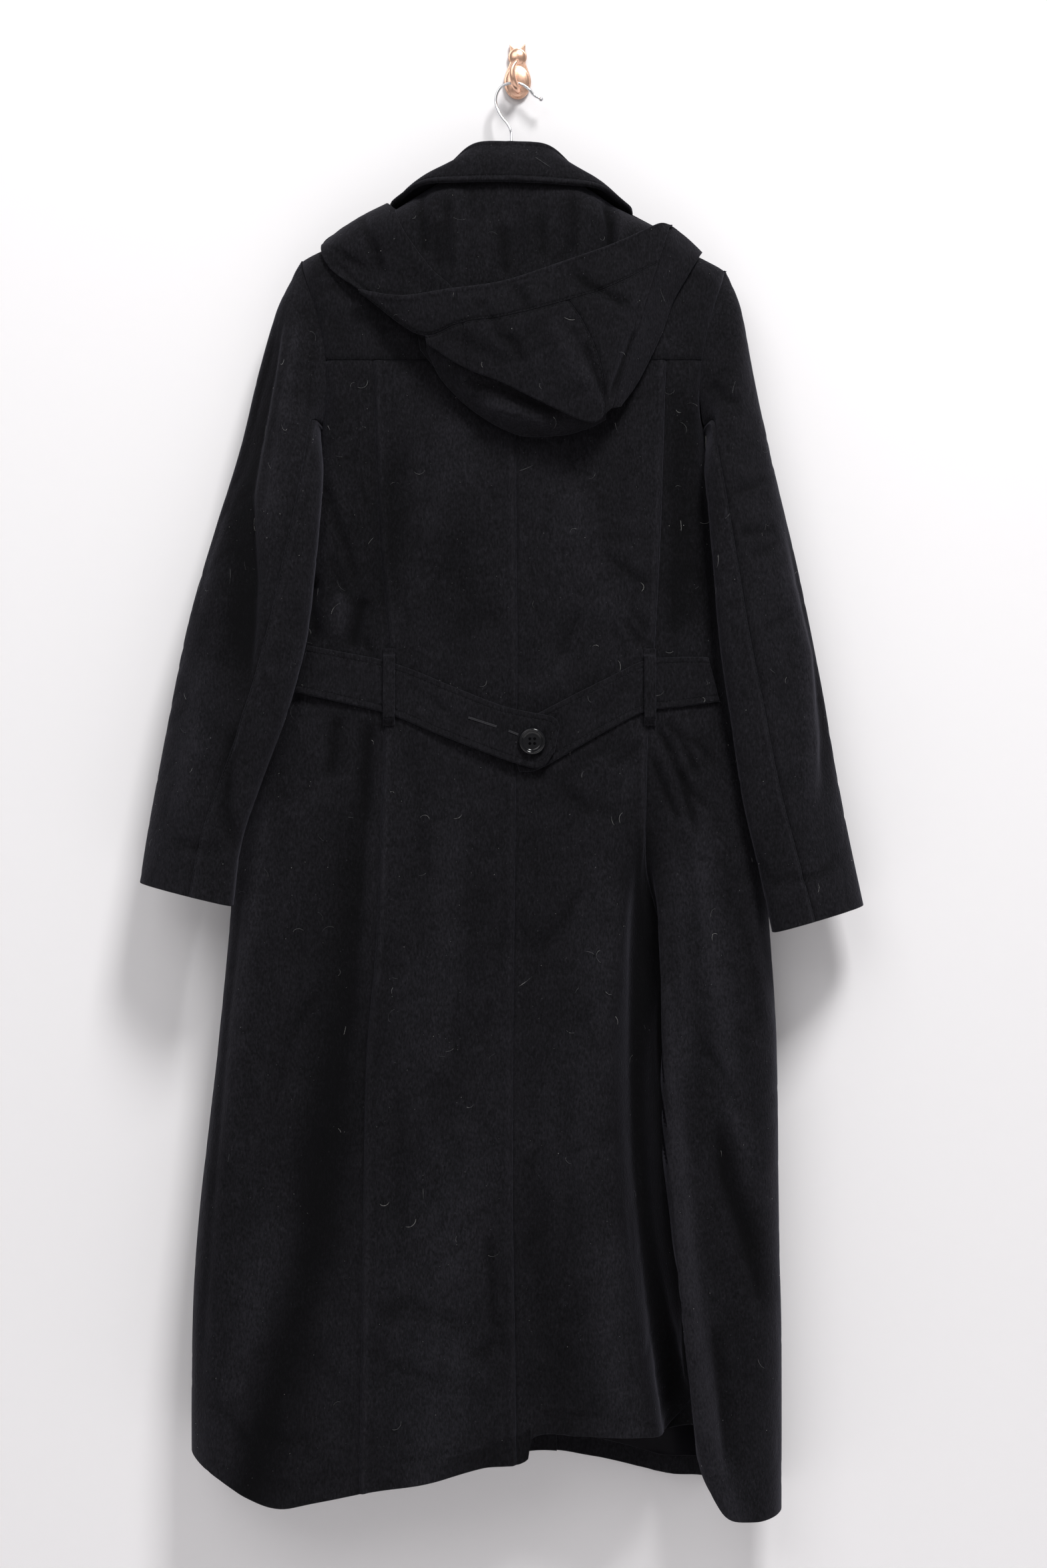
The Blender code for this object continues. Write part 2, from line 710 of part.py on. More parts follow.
def sleeve_panel(side, first_turn, last_turn):
    """Stretch of a sleeve between two seams, given in degrees as functions of the share."""
    def place(s, t):
        gap = SLEEVE_SEAM_GAP * (0.5 - s)
        turn = math.radians(mix(first_turn(t), last_turn(t), s) + gap)
        point = sleeve_point(side, turn, t)
        if t == 0:
            return point, armhole_ring(side, turn)[1]
        step = 0.004
        around = sleeve_point(side, turn + step, t) - sleeve_point(side, turn - step, t)
        down = sleeve_point(side, turn, t + step) - sleeve_point(side, turn, t - step)
        return point, (around.cross(down) * side).normalized()
    return place


def back_seam_turn(t):
    return mix(BACK_SEAM_TURN[0], BACK_SEAM_TURN[1], t)


def front_seam_turn(t):
    return FRONT_SEAM_TURN


def front_seam_turn_before(t):
    return FRONT_SEAM_TURN - 360


def build_sleeves():
    """Two-piece sleeves: a wide upper panel and a narrow one under it."""
    rows = [0.0, 0.03, 0.08] + even(11, 0.15, 1.0)
    for side, name in ((-1, "sleeve_left"), (1, "sleeve_right")):
        upper = sleeve_panel(side, front_seam_turn_before, back_seam_turn)
        under = sleeve_panel(side, back_seam_turn, front_seam_turn)
        wall(name + "_upper", upper, even(14), rows)
        wall(name + "_under", under, even(8), rows)


def collar_turn(station, wanted):
    """Column of the collar's table at a signed station, less than 0 on the viewer's left."""
    value = by_station(COLLAR, wanted, abs(station))
    if wanted.endswith("across"):
        side = 1 if station >= 0 else -1
        return NECK_X + side * value
    return value


def collar_ends(station):
    """Fold point, edge point and the level direction that leads out of the collar."""
    fold_x = collar_turn(station, "fold_across")
    edge_x = collar_turn(station, "edge_across")
    fold = Vector((fold_x, collar_turn(station, "fold_y"), collar_turn(station, "fold_z")))
    edge = Vector((edge_x, collar_turn(station, "edge_y"), collar_turn(station, "edge_z")))
    fold.z -= COLLAR_TILT * (fold_x - NECK_X)
    edge.z -= COLLAR_TILT * (edge_x - NECK_X)
    out = Vector((edge.x - fold.x, edge.y - fold.y, 0)).normalized()
    return fold, edge, out


def collar_fall(s, t):
    """Outer face of the turned-down collar, from its fold to its edge."""
    reach = len(COLLAR) - 1
    fold, edge, out = collar_ends(mix(-reach, reach, s))
    angle = min(t / COLLAR_BEND, 1.0) * math.pi / 2
    turned_down = FOLD_RADIUS * (1 - math.cos(angle))
    start = fold + out * FOLD_RADIUS * math.sin(angle) - Vector((0, 0, turned_down))
    run = max(t - COLLAR_BEND, 0.0) / (1 - COLLAR_BEND)
    bulge = collar_turn(mix(-reach, reach, s), "bulge") * math.sin(math.pi * run)
    return start + (edge - start) * run + (out + Vector((0, 0, COLLAR_LIFT))) * bulge


def collar_stand(s, t):
    """Outer face of the back's stand, from just below the fold down to the neckline."""
    station = mix(-STAND_REACH, STAND_REACH, s)
    fold, _, out = collar_ends(station)
    x = NECK_X + STAND_HALF * math.sin(station / STAND_REACH * math.pi / 2)
    z = top_edge_z(BACK, x) + NECK_SEAM
    low = body_point(BACK, x - level_middle(z), z)
    high = fold - out * REST_GAP - Vector((0, 0, COLLAR_CLOTH + REST_GAP + STAND_DROP))
    low -= out * STAND_INSET
    return high + (low - high) * t


def build_collar():
    place = with_normal(collar_fall)

    def fall(s, t):
        return place(s, max(t, FALL_START))
    wall("collar_fall", fall, even(24), [0.0, 0.07, 0.14, 0.22, 0.48, 0.74, 1.0], COLLAR_CLOTH)
    wall("collar_stand", with_normal(collar_stand), even(14), even(2), CLOTH)


def drape_point(table, station, run, extra=0.0):
    """Point of a hood piece: station along its table, run from its upper to its lower end."""
    x = mix(by_station(table, "x_top", station), by_station(table, "x_low", station), run)
    z = mix(by_station(table, "z_top", station), by_station(table, "z_low", station), run)
    off = mix(by_station(table, "off_top", station), by_station(table, "off_low", station), run)
    off += by_station(table, "bulge", station) * math.sin(math.pi * min(max(run, 0), 1)) + extra
    return on_back(x, z, off)


def gathers(station, run):
    """Upright folds of the hood's inner layer, deepest a third of the way down."""
    depth = GATHER_DEPTH * ease(run / 0.25) * ease((1.1 - run) / 0.5)
    return depth * (math.sin(station * 5.3 + 0.6) + 0.6 * math.sin(station * 8.9 + 2.0))


NECK_ROWS = [0.0, 0.03, 0.08, 0.15, 0.25, 0.40, 0.60, 0.80, 1.0]


def build_hood():
    """Inner layer, lower pouch, band, three crown panels and two sides."""
    def neck(s, t):
        station = s * (len(HOOD_NECK) - 1)
        return drape_point(HOOD_NECK, station, t, gathers(station, t))

    def pouch(s, t):
        return drape_point(HOOD_POUCH, s * (len(HOOD_POUCH) - 1), t)

    def side_left(s, t):
        return drape_point(HOOD_SIDE_LEFT, t * (len(HOOD_SIDE_LEFT) - 1), s)

    last = len(HOOD_CROWN) - 1

    def side_right(s, t):
        crown_row = HOOD_CROWN[-1]
        station = t * (len(HOOD_SIDE_RIGHT) - 1)
        bulge = crown_row.bulge * math.sin(math.pi * min(max(t, 0), 1))
        x = mix(mix(crown_row.x_top, crown_row.x_low, t) - CROWN_TUCK,
                by_station(HOOD_SIDE_RIGHT, "x", station), s)
        z = mix(mix(crown_row.z_top, crown_row.z_low, t), by_station(HOOD_SIDE_RIGHT, "z", station), s)
        off = mix(mix(crown_row.off_top, crown_row.off_low, t) + bulge - HOOD_CLOTH - REST_GAP,
                  by_station(HOOD_SIDE_RIGHT, "off", station), s)
        return on_back(x, z, off)

    def band_share(station):
        return smooth(list(range(last + 1)), BAND_SHARE, station)

    def band(s, t):
        station = s * last
        return drape_point(HOOD_CROWN, station, t * (band_share(station) - HOOD_SEAM * 0.4))

    def crown(from_seam, to_seam):
        def surface(s, t):
            first = mix(from_seam[0], from_seam[1], t) + HOOD_SEAM
            final = mix(to_seam[0], to_seam[1], t) - HOOD_SEAM
            station = mix(first, final, s)
            return drape_point(HOOD_CROWN, station, mix(band_share(station) + HOOD_SEAM, 1.0, t))
        return surface

    wall("hood_neck", with_normal(neck), even(22), NECK_ROWS, HOOD_CLOTH)
    wall("hood_pouch", with_normal(pouch), even(12), even(5), HOOD_CLOTH)
    wall("hood_side_left", with_normal(side_left), crowded(8, 1.5), even(10), HOOD_CLOTH)
    wall("hood_side_right", with_normal(side_right), even(4), even(8), HOOD_CLOTH)
    wall("hood_band", with_normal(band), even(20), even(3), HOOD_CLOTH)
    crown_parts = (
        ("hood_crown_left", CROWN_START, CROWN_SEAM_LEFT, 4),
        ("hood_crown_centre", CROWN_SEAM_LEFT, CROWN_SEAM_RIGHT, 9),
        ("hood_crown_right", CROWN_SEAM_RIGHT, (last, last), 4),
    )
    for name, from_seam, to_seam, steps in crown_parts:
        wall(name, with_normal(crown(from_seam, to_seam)), even(steps), even(6), HOOD_CLOTH)


def belt_surface(table, base):
    """Outer face of a belt half, which follows the back a little way off it."""
    def surface(s, t):
        station = s * (len(table) - 1)
        x = mix(by_station(table, "x_top", station), by_station(table, "x_low", station), t)
        z = mix(by_station(table, "z_top", station), by_station(table, "z_low", station), t)
        return on_back(x, z, base + by_station(table, "lift", station))
    return surface


def build_belt():
    """Two halves of the belt, buttoned over each other, and the loops that carry them."""
    base = REST_GAP + BELT_CLOTH
    wall("belt_left", with_normal(belt_surface(BELT_LEFT, base)), even(18), even(2), BELT_CLOTH)
    wall("belt_right", with_normal(belt_surface(BELT_RIGHT, base)), even(12), even(2), BELT_CLOTH)
    for name, centre in (("belt_loop_left", LOOP_LEFT_X), ("belt_loop_right", LOOP_RIGHT_X)):
        build_loop(name, centre, base + REST_GAP)


def build_loop(name, centre, clear):
    """Loop: sewn flat on the back above and below, and lifted over the belt between."""
    inner_face = REST_GAP
    outer_face = REST_GAP + LOOP_CLOTH
    profile_outer = [
        (LOOP_TOP_Z, outer_face),
        (LOOP_TOP_Z - 5, outer_face),
        (LOOP_TOP_Z - 8, clear + LOOP_CLOTH),
        (LOOP_LOW_Z + 8, clear + LOOP_CLOTH),
        (LOOP_LOW_Z + 4, outer_face),
        (LOOP_LOW_Z, outer_face),
    ]
    profile_inner = [
        (LOOP_TOP_Z, inner_face),
        (LOOP_TOP_Z - 6, inner_face),
        (LOOP_TOP_Z - 9.5, clear),
        (LOOP_LOW_Z + 9, clear),
        (LOOP_LOW_Z + 5, inner_face),
        (LOOP_LOW_Z, inner_face),
    ]
    ring = profile_outer + profile_inner[::-1]
    count = len(ring)
    points = []
    sides = (centre - LOOP_WIDTH / 2, centre + LOOP_WIDTH / 2)
    for x in sides:
        points += [on_back(x, z, off) for z, off in ring]
    faces = []
    steps = len(profile_outer) - 1
    for k in range(steps):
        near = (k, k + 1, count - 2 - k, count - 1 - k)
        faces.append(near)
        faces.append(tuple(count + i for i in reversed(near)))
    for k in range(count):
        follow = (k + 1) % count
        faces.append((follow, k, count + k, count + follow))
    add_object(name, points, faces, WOOL)


def turned(name, profile, sides, place, colour, roughness, direction):
    """Solid turned about the Y axis: the profile gives radius and height, centre to centre."""
    points = []
    faces = []
    rings = []
    for radius, height in profile:
        rings.append([len(points) + k for k in range(sides)])
        for k in range(sides):
            angle = 2 * math.pi * k / sides
            across = radius * math.cos(angle)
            up = radius * math.sin(angle)
            points.append(place + Vector((across, direction * height, up)))
    for low, high in zip(rings, rings[1:]):
        for k in range(sides):
            follow = (k + 1) % sides
            faces.append((low[k], low[follow], high[follow], high[k]))
    faces.append(tuple(rings[0]))
    faces.append(tuple(reversed(rings[-1])))
    return add_object(name, points, faces, colour, roughness)


def button_profile():
    """Flat back, rounded rim, and a shallow dish inside the rim."""
    return [
        (BUTTON_RADIUS - 1.0, 0), (BUTTON_RADIUS, 1.2), (BUTTON_RADIUS - 0.4, BUTTON_THICK - 0.6),
        (BUTTON_RADIUS - 1.8, BUTTON_THICK), (BUTTON_RADIUS - 3.4, BUTTON_THICK - 0.4),
        (BUTTON_RADIUS - 4.6, BUTTON_THICK - 1.6),
    ]


def build_buttons():
    """Belt button with its four holes, and a plain row of the same buttons down the front."""
    x, z = BELT_BUTTON
    lift = REST_GAP + BELT_CLOTH + by_station(BELT_LEFT, "lift", 7) + BUTTON_SHANK
    button = turned("belt_button", button_profile(), 24, on_back(x, z, lift), BUTTON_COLOUR,
                    BUTTON_ROUGHNESS, -1)
    holes = []
    for k in range(4):
        angle = math.pi / 4 + k * math.pi / 2
        reach = Vector((math.cos(angle), 0, math.sin(angle))) * BUTTON_HOLE_REACH
        bpy.ops.mesh.primitive_cylinder_add(vertices=8, radius=BUTTON_HOLE_RADIUS * MM, depth=12 * MM,
                                            location=(on_back(x, z, lift) + reach) * MM,
                                            rotation=(math.pi / 2, 0, 0))
        cutter = bpy.context.object
        cutter.name = "cutter_hole_" + str(k)
        cutter.hide_render = True
        cutter.display_type = "WIRE"
        holes.append(cutter)
        cut = button.modifiers.new("hole " + str(k), "BOOLEAN")
        cut.object = cutter
        cut.operation = "DIFFERENCE"
    for k, height in enumerate(FRONT_BUTTON_Z):
        along = FRONT_EDGE_X - level(height)[0]
        place = body_point(FRONT, along, height, LAP_STEP) + Vector((0, REST_GAP, 0))
        turned("front_button_" + str(k + 1), button_profile(), 12, place, BUTTON_COLOUR,
               BUTTON_ROUGHNESS, 1)


def along_route(places, steps):
    """Points of a smooth curve through the places, with so many steps between two of them."""
    stations = list(range(len(places)))
    return [[smooth(stations, [place[i] for place in places], k / steps) for i in range(len(places[0]))]
            for k in range((len(places) - 1) * steps + 1)]


def tube(name, route, sides, colour, roughness, metallic, steps=2):
    """Rod along a smooth curve through the route's rows of x, y, z and radius, closed at both ends."""
    points = []
    side_way = None
    rows = along_route(route, steps)
    centres = [Vector(row[:3]) for row in rows]
    for k, centre in enumerate(centres):
        ahead = centres[min(k + 1, len(centres) - 1)] - centres[max(k - 1, 0)]
        ahead.normalize()
        if side_way is None:
            side_way = ahead.orthogonal().normalized()
        side_way = (side_way - ahead * side_way.dot(ahead)).normalized()
        up_way = ahead.cross(side_way)
        for i in range(sides):
            angle = 2 * math.pi * i / sides
            reach = side_way * math.cos(angle) + up_way * math.sin(angle)
            points.append(centre + reach * rows[k][3])
    faces = [tuple(range(sides))[::-1]]
    for k in range(len(centres) - 1):
        for i in range(sides):
            follow = (i + 1) % sides
            base = k * sides
            faces.append((base + i, base + follow, base + sides + follow, base + sides + i))
    base = (len(centres) - 1) * sides
    faces.append(tuple(base + i for i in range(sides)))
    return add_object(name, points, faces, colour, roughness, metallic)


def build_hanger():
    """Plain rounded shoulder bar that carries the coat, and its wire hook with a ball on its end."""
    drop = (CLOTH + REST_GAP + BAR_RADIUS) * SHOULDER_SLOPE
    route = [(x, BAR_Y, shoulder_z(x) - drop, BAR_RADIUS) for x in BAR_LEFT_X]
    route.append((NECK_X, BAR_Y, BAR_CREST_Z - drop, BAR_RADIUS))
    route += [(x, BAR_Y, shoulder_z(x) - drop, BAR_RADIUS) for x in BAR_RIGHT_X]
    tube("hanger_body", route, 8, BAR_COLOUR, 0.5, 0.0)
    foot = (NECK_X, BAR_Y, BAR_CREST_Z - drop + BAR_RADIUS + REST_GAP)
    wire = [(*place, WIRE_RADIUS) for place in WIRE_ROUTE + [foot]]
    tube("hanger_hook", WIRE_BALL + wire, 6, WIRE_COLOUR, 0.15, 1.0)


def plate_outline():
    """Half round head with an ear each side, over an egg-shaped body."""
    outline = []
    for k in range(PLATE_STEPS + 1):
        angle = math.radians(mix(NECK_ANGLE - 270, 90 - NECK_ANGLE, k / PLATE_STEPS))
        across = BODY_HALF_WIDTH * math.cos(angle)
        outline.append((across, BODY_CENTRE_Z + BODY_HALF_HEIGHT * math.sin(angle)))
    right = []
    for degrees in HEAD_ANGLES:
        angle = math.radians(degrees)
        across = HEAD_RADIUS * math.cos(angle)
        right.append((across, HEAD_CENTRE_Z + HEAD_RADIUS * math.sin(angle)))
    right += [EAR_TIP, EAR_ROOT]
    return outline + right + [(-x, z) for x, z in reversed(right)]


def build_wall_hook():
    """Flat plate in the outline of a plain sitting cat, and its tail, the prong, on its front."""
    outline = plate_outline()
    count = len(outline)
    points = [(x, 0, z) for x, z in outline] + [(x, -PLATE_THICK, z) for x, z in outline]
    faces = [tuple(range(count)), tuple(range(2 * count - 1, count - 1, -1))]
    for k in range(count):
        follow = (k + 1) % count
        faces.append((follow, k, count + k, count + follow))
    plate = add_object("wall_hook", points, faces, COPPER, COPPER_ROUGHNESS, 1.0)
    prong = tube("cutter_prong", PRONG_ROUTE, 8, COPPER, COPPER_ROUGHNESS, 1.0)
    prong.hide_render = True
    prong.display_type = "WIRE"
    join = plate.modifiers.new("prong", "BOOLEAN")
    join.object = prong
    join.operation = "UNION"


def main():
    for old in list(bpy.data.objects):
        bpy.data.objects.remove(old, do_unlink=True)
    build_panels()
    build_sleeves()
    build_collar()
    build_hood()
    build_belt()
    build_buttons()
    build_lining()
    build_hanger()
    build_wall_hook()


main()
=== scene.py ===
"""Long hooded wool coat on its hanger and a small wall hook: its looks, made over the frame.

The frame's own shapes are made again here from the same tables, more finely, with their creases,
seams, stitches and nap. Tables are in millimetres, and meshes are made in metres.
"""

import math
import random
from collections import namedtuple

import bmesh
import bpy
import numpy as np
from bpy.props import FloatProperty, FloatVectorProperty, IntProperty, PointerProperty
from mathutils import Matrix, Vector, noise


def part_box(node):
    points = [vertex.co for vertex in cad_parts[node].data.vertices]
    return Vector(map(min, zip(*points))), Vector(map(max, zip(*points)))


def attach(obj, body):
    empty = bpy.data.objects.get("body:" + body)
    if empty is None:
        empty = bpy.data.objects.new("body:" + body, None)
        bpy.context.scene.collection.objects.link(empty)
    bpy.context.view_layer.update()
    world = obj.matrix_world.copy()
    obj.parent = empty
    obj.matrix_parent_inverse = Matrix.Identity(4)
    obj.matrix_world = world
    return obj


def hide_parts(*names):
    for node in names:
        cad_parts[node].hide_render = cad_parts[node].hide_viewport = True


bl_info = {
    "name": "Hooded coat on wall hook",
    "version": (1, 0, 0),
    "blender": (4, 5, 0),
    "location": "View3D > Sidebar > Coat",
    "description": "Dresses the hanging wool coat, its hanger and its wall hook",
    "category": "Object",
}

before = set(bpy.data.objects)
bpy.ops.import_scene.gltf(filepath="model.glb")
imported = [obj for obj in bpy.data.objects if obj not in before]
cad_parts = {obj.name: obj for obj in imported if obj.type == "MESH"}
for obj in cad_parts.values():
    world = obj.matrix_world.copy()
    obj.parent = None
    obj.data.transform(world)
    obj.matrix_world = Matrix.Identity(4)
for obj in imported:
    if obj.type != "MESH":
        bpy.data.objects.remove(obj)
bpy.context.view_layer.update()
BUTTON_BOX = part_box("belt_button")

MM = 0.001
BACK = 1                 # the face towards the viewer
FRONT = -1               # the face towards the wall

LINING_CLOTH = 1.0
LINING_GAP = 3.4         # between a panel and its lining
LINING_TOP = 0.89        # what shows of the lining starts at this share of its panel's height
LINING_LOW = {BACK: 0.975, FRONT: 0.984}  # and ends at this one
LINING_WAVE = {BACK: 0, FRONT: 1.2}
LINING_LAP = 0.25        # the right front's lining starts clear of the left front, this share across
PROBE = 0.004            # step in s and t that finds a surface's direction
LOOP_CLOTH = 2.0
COLLAR_CLOTH = 4.0
HALF_SEAM = -0.05        # two sewn pieces touch at their seam
REST_GAP = 0.4           # between a piece and the piece that it lies on
SLEEVE_TUCK = (3.0, 1.5)  # the sleeve starts this far past the armhole's edge, and under it

# The body at each height: how far it reaches left and right, and its distance from the wall.
Level = namedtuple("Level", "z left right back front")
BODY = [
    Level(-100, -208, 201, -58, -13),
    Level(-190, -208, 201, -58, -13),
    Level(-250, -197, 191, -59, -13),
    Level(-323, -188, 180, -60, -13),
    Level(-387, -190, 182, -60, -13),
    Level(-451, -198, 190, -60, -13),
    Level(-515, -204, 195, -60, -13),
    Level(-579, -213, 199, -61, -13),
    Level(-643, -233, 211, -64, -13),
    Level(-707, -256, 225, -68, -13),
    Level(-771, -270, 236, -72, -13),
    Level(-834, -275, 241, -76, -13),
    Level(-937, -285, 247, -81, -13),
    Level(-1116, -304, 249, -88, -13),
    Level(-1218, -309, 251, -92, -13),
    Level(-1400, -309, 251, -95, -13),
]
EDGE_ROUNDNESS = 0.9     # of the body's sides: their radius against half its depth
BACK_CROWN = 4.0         # the back swells by this much in its middle
CROWN_TOP_Z = -240       # from this height down
CROWN_RISE = 250         # over this run

NECK_X = -6
NECK_HALF = 72
NECK_LEFT_Z = -129
NECK_RIGHT_Z = -131
TIP_LEFT = (-208, -190)
TIP_RIGHT = (201, -200)
SHOULDER_ROUND = 22      # depth below the shoulder line at which the body has its full depth
SHOULDER_SLOPE = 1.15    # what lies off the body starts this much higher, for each mm
BACK_NECK_DROP = 4
FRONT_NECK_DROP = 56

UNDERARM_Z = -355
ARMHOLE_OUT = 0.45       # how far round the side the armhole lies in its middle
YOKE_Z = -288
FRONT_EDGE_X = 12
FRONT_LAP = 26           # the fronts overlap by this much on both sides of their middle
LAP_STEP = 3.2           # the upper front lies this far off the lower one
LAP_RUN = (30, 24)       # and comes down to the body over this run

# Where the back's three long seams run.
Seam = namedtuple("Seam", "z left centre right")
SEAMS = [
    Seam(-288, -137, -1, 141),
    Seam(-453, -131, -1, 136),
    Seam(-564, -122, 0, 130),
    Seam(-660, -127, -1, 123),
    Seam(-838, -133, -3, 123),
    Seam(-955, -143, -4, 125),
    Seam(-1093, -145, -4, 139),
    Seam(-1213, -146, -2, 146),
    Seam(-1380, -148, 0, 152),
]

# Places x, z on an edge.
Hem = namedtuple("Hem", "x z")
BACK_HEM = [
    Hem(-309, -1322),
    Hem(-280, -1340),
    Hem(-255, -1361),
    Hem(-224, -1369),
    Hem(-190, -1363),
    Hem(-140, -1353),
    Hem(-87, -1344),
    Hem(-32, -1330),
    Hem(10, -1323),
    Hem(14, -1302),
    Hem(56, -1301),
    Hem(140, -1302),
    Hem(162, -1309),
    Hem(178, -1346),
    Hem(193, -1372),
    Hem(222, -1381),
    Hem(252, -1378),
]
FRONT_HEM = [
    Hem(-309, -1322),
    Hem(-260, -1345),
    Hem(-180, -1354),
    Hem(-90, -1355),
    Hem(-29, -1344),
    Hem(19, -1334),
    Hem(71, -1339),
    Hem(123, -1350),
    Hem(180, -1358),
    Hem(252, -1378),
]

# Large folds, as the frame has them.
Fold = namedtuple("Fold", "face x_top x_middle x_low z_top z_low depth width")
FOLDS = [
    Fold(BACK, 141, 112, 158, -650, -1330, 30, 13),
    Fold(BACK, 128, 137, 192, -740, -1375, -13, 17),
    Fold(BACK, 100, 76, 104, -700, -1330, -6, 24),
    Fold(BACK, -131, -182, -258, -780, -1370, 11, 26),
    Fold(BACK, -160, -222, -290, -860, -1370, -5, 22),
    Fold(BACK, -40, -60, -78, -900, -1350, -5, 34),
    Fold(BACK, 24, 30, 44, -1000, -1320, 5, 30),
    Fold(FRONT, -120, -150, -190, -700, -1350, 13, 22),
    Fold(FRONT, -60, -70, -80, -820, -1350, -3, 26),
    Fold(FRONT, 110, 128, 150, -640, -1350, 12, 20),
    Fold(FRONT, 176, 196, 206, -900, -1370, -3, 18),
]

# Creases: a soft line through places x, z. Its depth leads in, and its two half widths lie on the
# viewer's left and right of a line that runs down.
Crease = namedtuple("Crease", "depth left right path")
CREASES = {}              # by the part of the coat, and its face
CREASES["body", BACK] = [
    Crease(23.0, 14, 4.5, ((122, -740), (128, -900), (136, -1054), (147, -1204), (157, -1290), (169, -1420))),
    Crease(-3.6, 4, 13, ((137, -855), (147, -1054), (160, -1204), (170, -1300), (180, -1400))),
    Crease(6.0, 7, 13, ((188, -1000), (194, -1060), (213, -1114), (232, -1190))),
    Crease(-3.4, 10, 14, ((164, -706), (176, -800), (186, -880), (200, -985), (222, -1100))),
    Crease(3.4, 5, 9, ((182, -1190), (191, -1266), (198, -1340))),
    Crease(-2.0, 8, 8, ((150, -760), (156, -860), (160, -980))),
    Crease(4.6, 30, 7, ((-148, -690), (-150, -800), (-158, -900), (-178, -1010), (-204, -1120))),
    Crease(2.4, 3, 6, ((-255, -746), (-273, -905), (-286, -1055), (-296, -1204), (-298, -1300))),
    Crease(-2.0, 9, 9, ((-236, -655), (-245, -760), (-262, -900), (-276, -1060))),
    Crease(5.4, 7, 6, ((-195, -490), (-195, -519), (-190, -556))),
    Crease(5.8, 8, 6, ((-146, -512), (-150, -533), (-158, -564))),
    Crease(2.4, 4, 4, ((-146, -553), (-136, -570))),
    Crease(-3.0, 8, 8, ((-166, -505), (-172, -556))),
    Crease(2.2, 6, 5, ((-186, -400), (-172, -440), (-158, -480), (-150, -512))),
    Crease(1.8, 5, 5, ((-178, -470), (-166, -500), (-156, -524))),
    Crease(4.0, 6, 8, ((-171, -623), (-178, -687))),
    Crease(5.0, 8, 7, ((-139, -626), (-143, -680), (-143, -732))),
    Crease(2.0, 4, 4, ((79, -469), (98, -484), (125, -503))),
    Crease(2.6, 4, 4, ((101, -535), (118, -559))),
    Crease(2.2, 3, 4, ((104, -520), (124, -548))),
    Crease(1.8, 3, 3, ((88, -539), (104, -562))),
    Crease(-2.0, 12, 12, ((8, -610), (51, -569))),
    Crease(1.8, 5, 5, ((20, -604), (44, -560), (58, -520))),
    Crease(4.6, 3, 6, ((128, -630), (144, -660), (158, -700), (170, -742))),
    Crease(4.0, 3, 5, ((126, -662), (138, -694), (154, -730))),
    Crease(3.2, 3, 4, ((137, -628), (156, -650), (172, -688))),
    Crease(2.6, 3, 4, ((152, -676), (166, -700), (182, -712))),
    Crease(2.6, 3, 4, ((118, -648), (104, -664), (84, -672))),
    Crease(2.2, 3, 4, ((150, -640), (170, -652), (186, -672))),
    Crease(2.4, 6, 6, ((60, -785), (40, -825), (14, -851))),
    Crease(1.6, 5, 6, ((40, -690), (70, -664), (112, -650))),
    Crease(1.6, 6, 6, ((34, -684), (60, -710), (100, -722))),
    Crease(2.2, 8, 8, ((-137, -1194), (-102, -1177), (-82, -1184), (-40, -1200))),
    Crease(2.4, 5, 5, ((-47, -1229), (-23, -1212), (-4, -1214))),
    Crease(2.8, 5, 5, ((-26, -1110), (-22, -1190), (-10, -1212))),
    Crease(1.6, 6, 6, ((-150, -1214), (-110, -1236), (-66, -1252))),
    Crease(1.4, 2, 2, ((12, -1279), (80, -1281), (152, -1293))),
    Crease(1.2, 2, 2, ((-250, -1338), (-215, -1345), (-140, -1330), (-30, -1304))),
    Crease(2.0, 6, 6, ((-250, -1290), (-214, -1306), (-190, -1300))),
    Crease(1.6, 5, 5, ((-292, -1262), (-262, -1290), (-240, -1336))),
    Crease(2.6, 18, 12, ((-110, -360), (-118, -450), (-128, -540))),
    Crease(4.4, 12, 34, ((150, -300), (152, -400), (150, -520), (150, -566))),
    Crease(-1.6, 20, 20, ((-60, -330), (-72, -470))),
    Crease(1.8, 24, 24, ((-40, -560), (-60, -480), (-66, -400))),
    Crease(-1.6, 18, 18, ((40, -400), (70, -480), (86, -540))),
    Crease(1.6, 8, 8, ((-104, -640), (-92, -720), (-84, -800))),
    Crease(-1.8, 16, 16, ((-60, -700), (-66, -840), (-80, -980))),
    Crease(1.8, 14, 14, ((62, -880), (80, -1000), (84, -1130))),
    Crease(-1.6, 10, 10, ((28, -960), (36, -1080), (40, -1200))),
    Crease(1.4, 7, 7, ((-118, -960), (-104, -1060), (-110, -1130))),
    Crease(1.6, 5, 5, ((-186, -880), (-214, -930), (-232, -990))),
    Crease(1.6, 5, 5, ((206, -800), (222, -860), (228, -930))),
    Crease(2.0, 5, 5, ((170, -930), (192, -960), (214, -1010))),
]
CREASES["body", FRONT] = [
    Crease(2.4, 8, 8, ((-80, -560), (-104, -700), (-126, -820))),
    Crease(2.0, 6, 10, ((96, -520), (108, -660), (118, -760))),
    Crease(1.8, 5, 6, ((-150, -380), (-112, -430), (-92, -500))),
    Crease(1.8, 6, 5, ((140, -380), (112, -440), (96, -500))),
    Crease(1.2, 10, 10, ((-40, -900), (-52, -1100), (-60, -1300))),
    Crease(1.6, 12, 10, ((60, -860), (66, -1060), (72, -1300))),
]
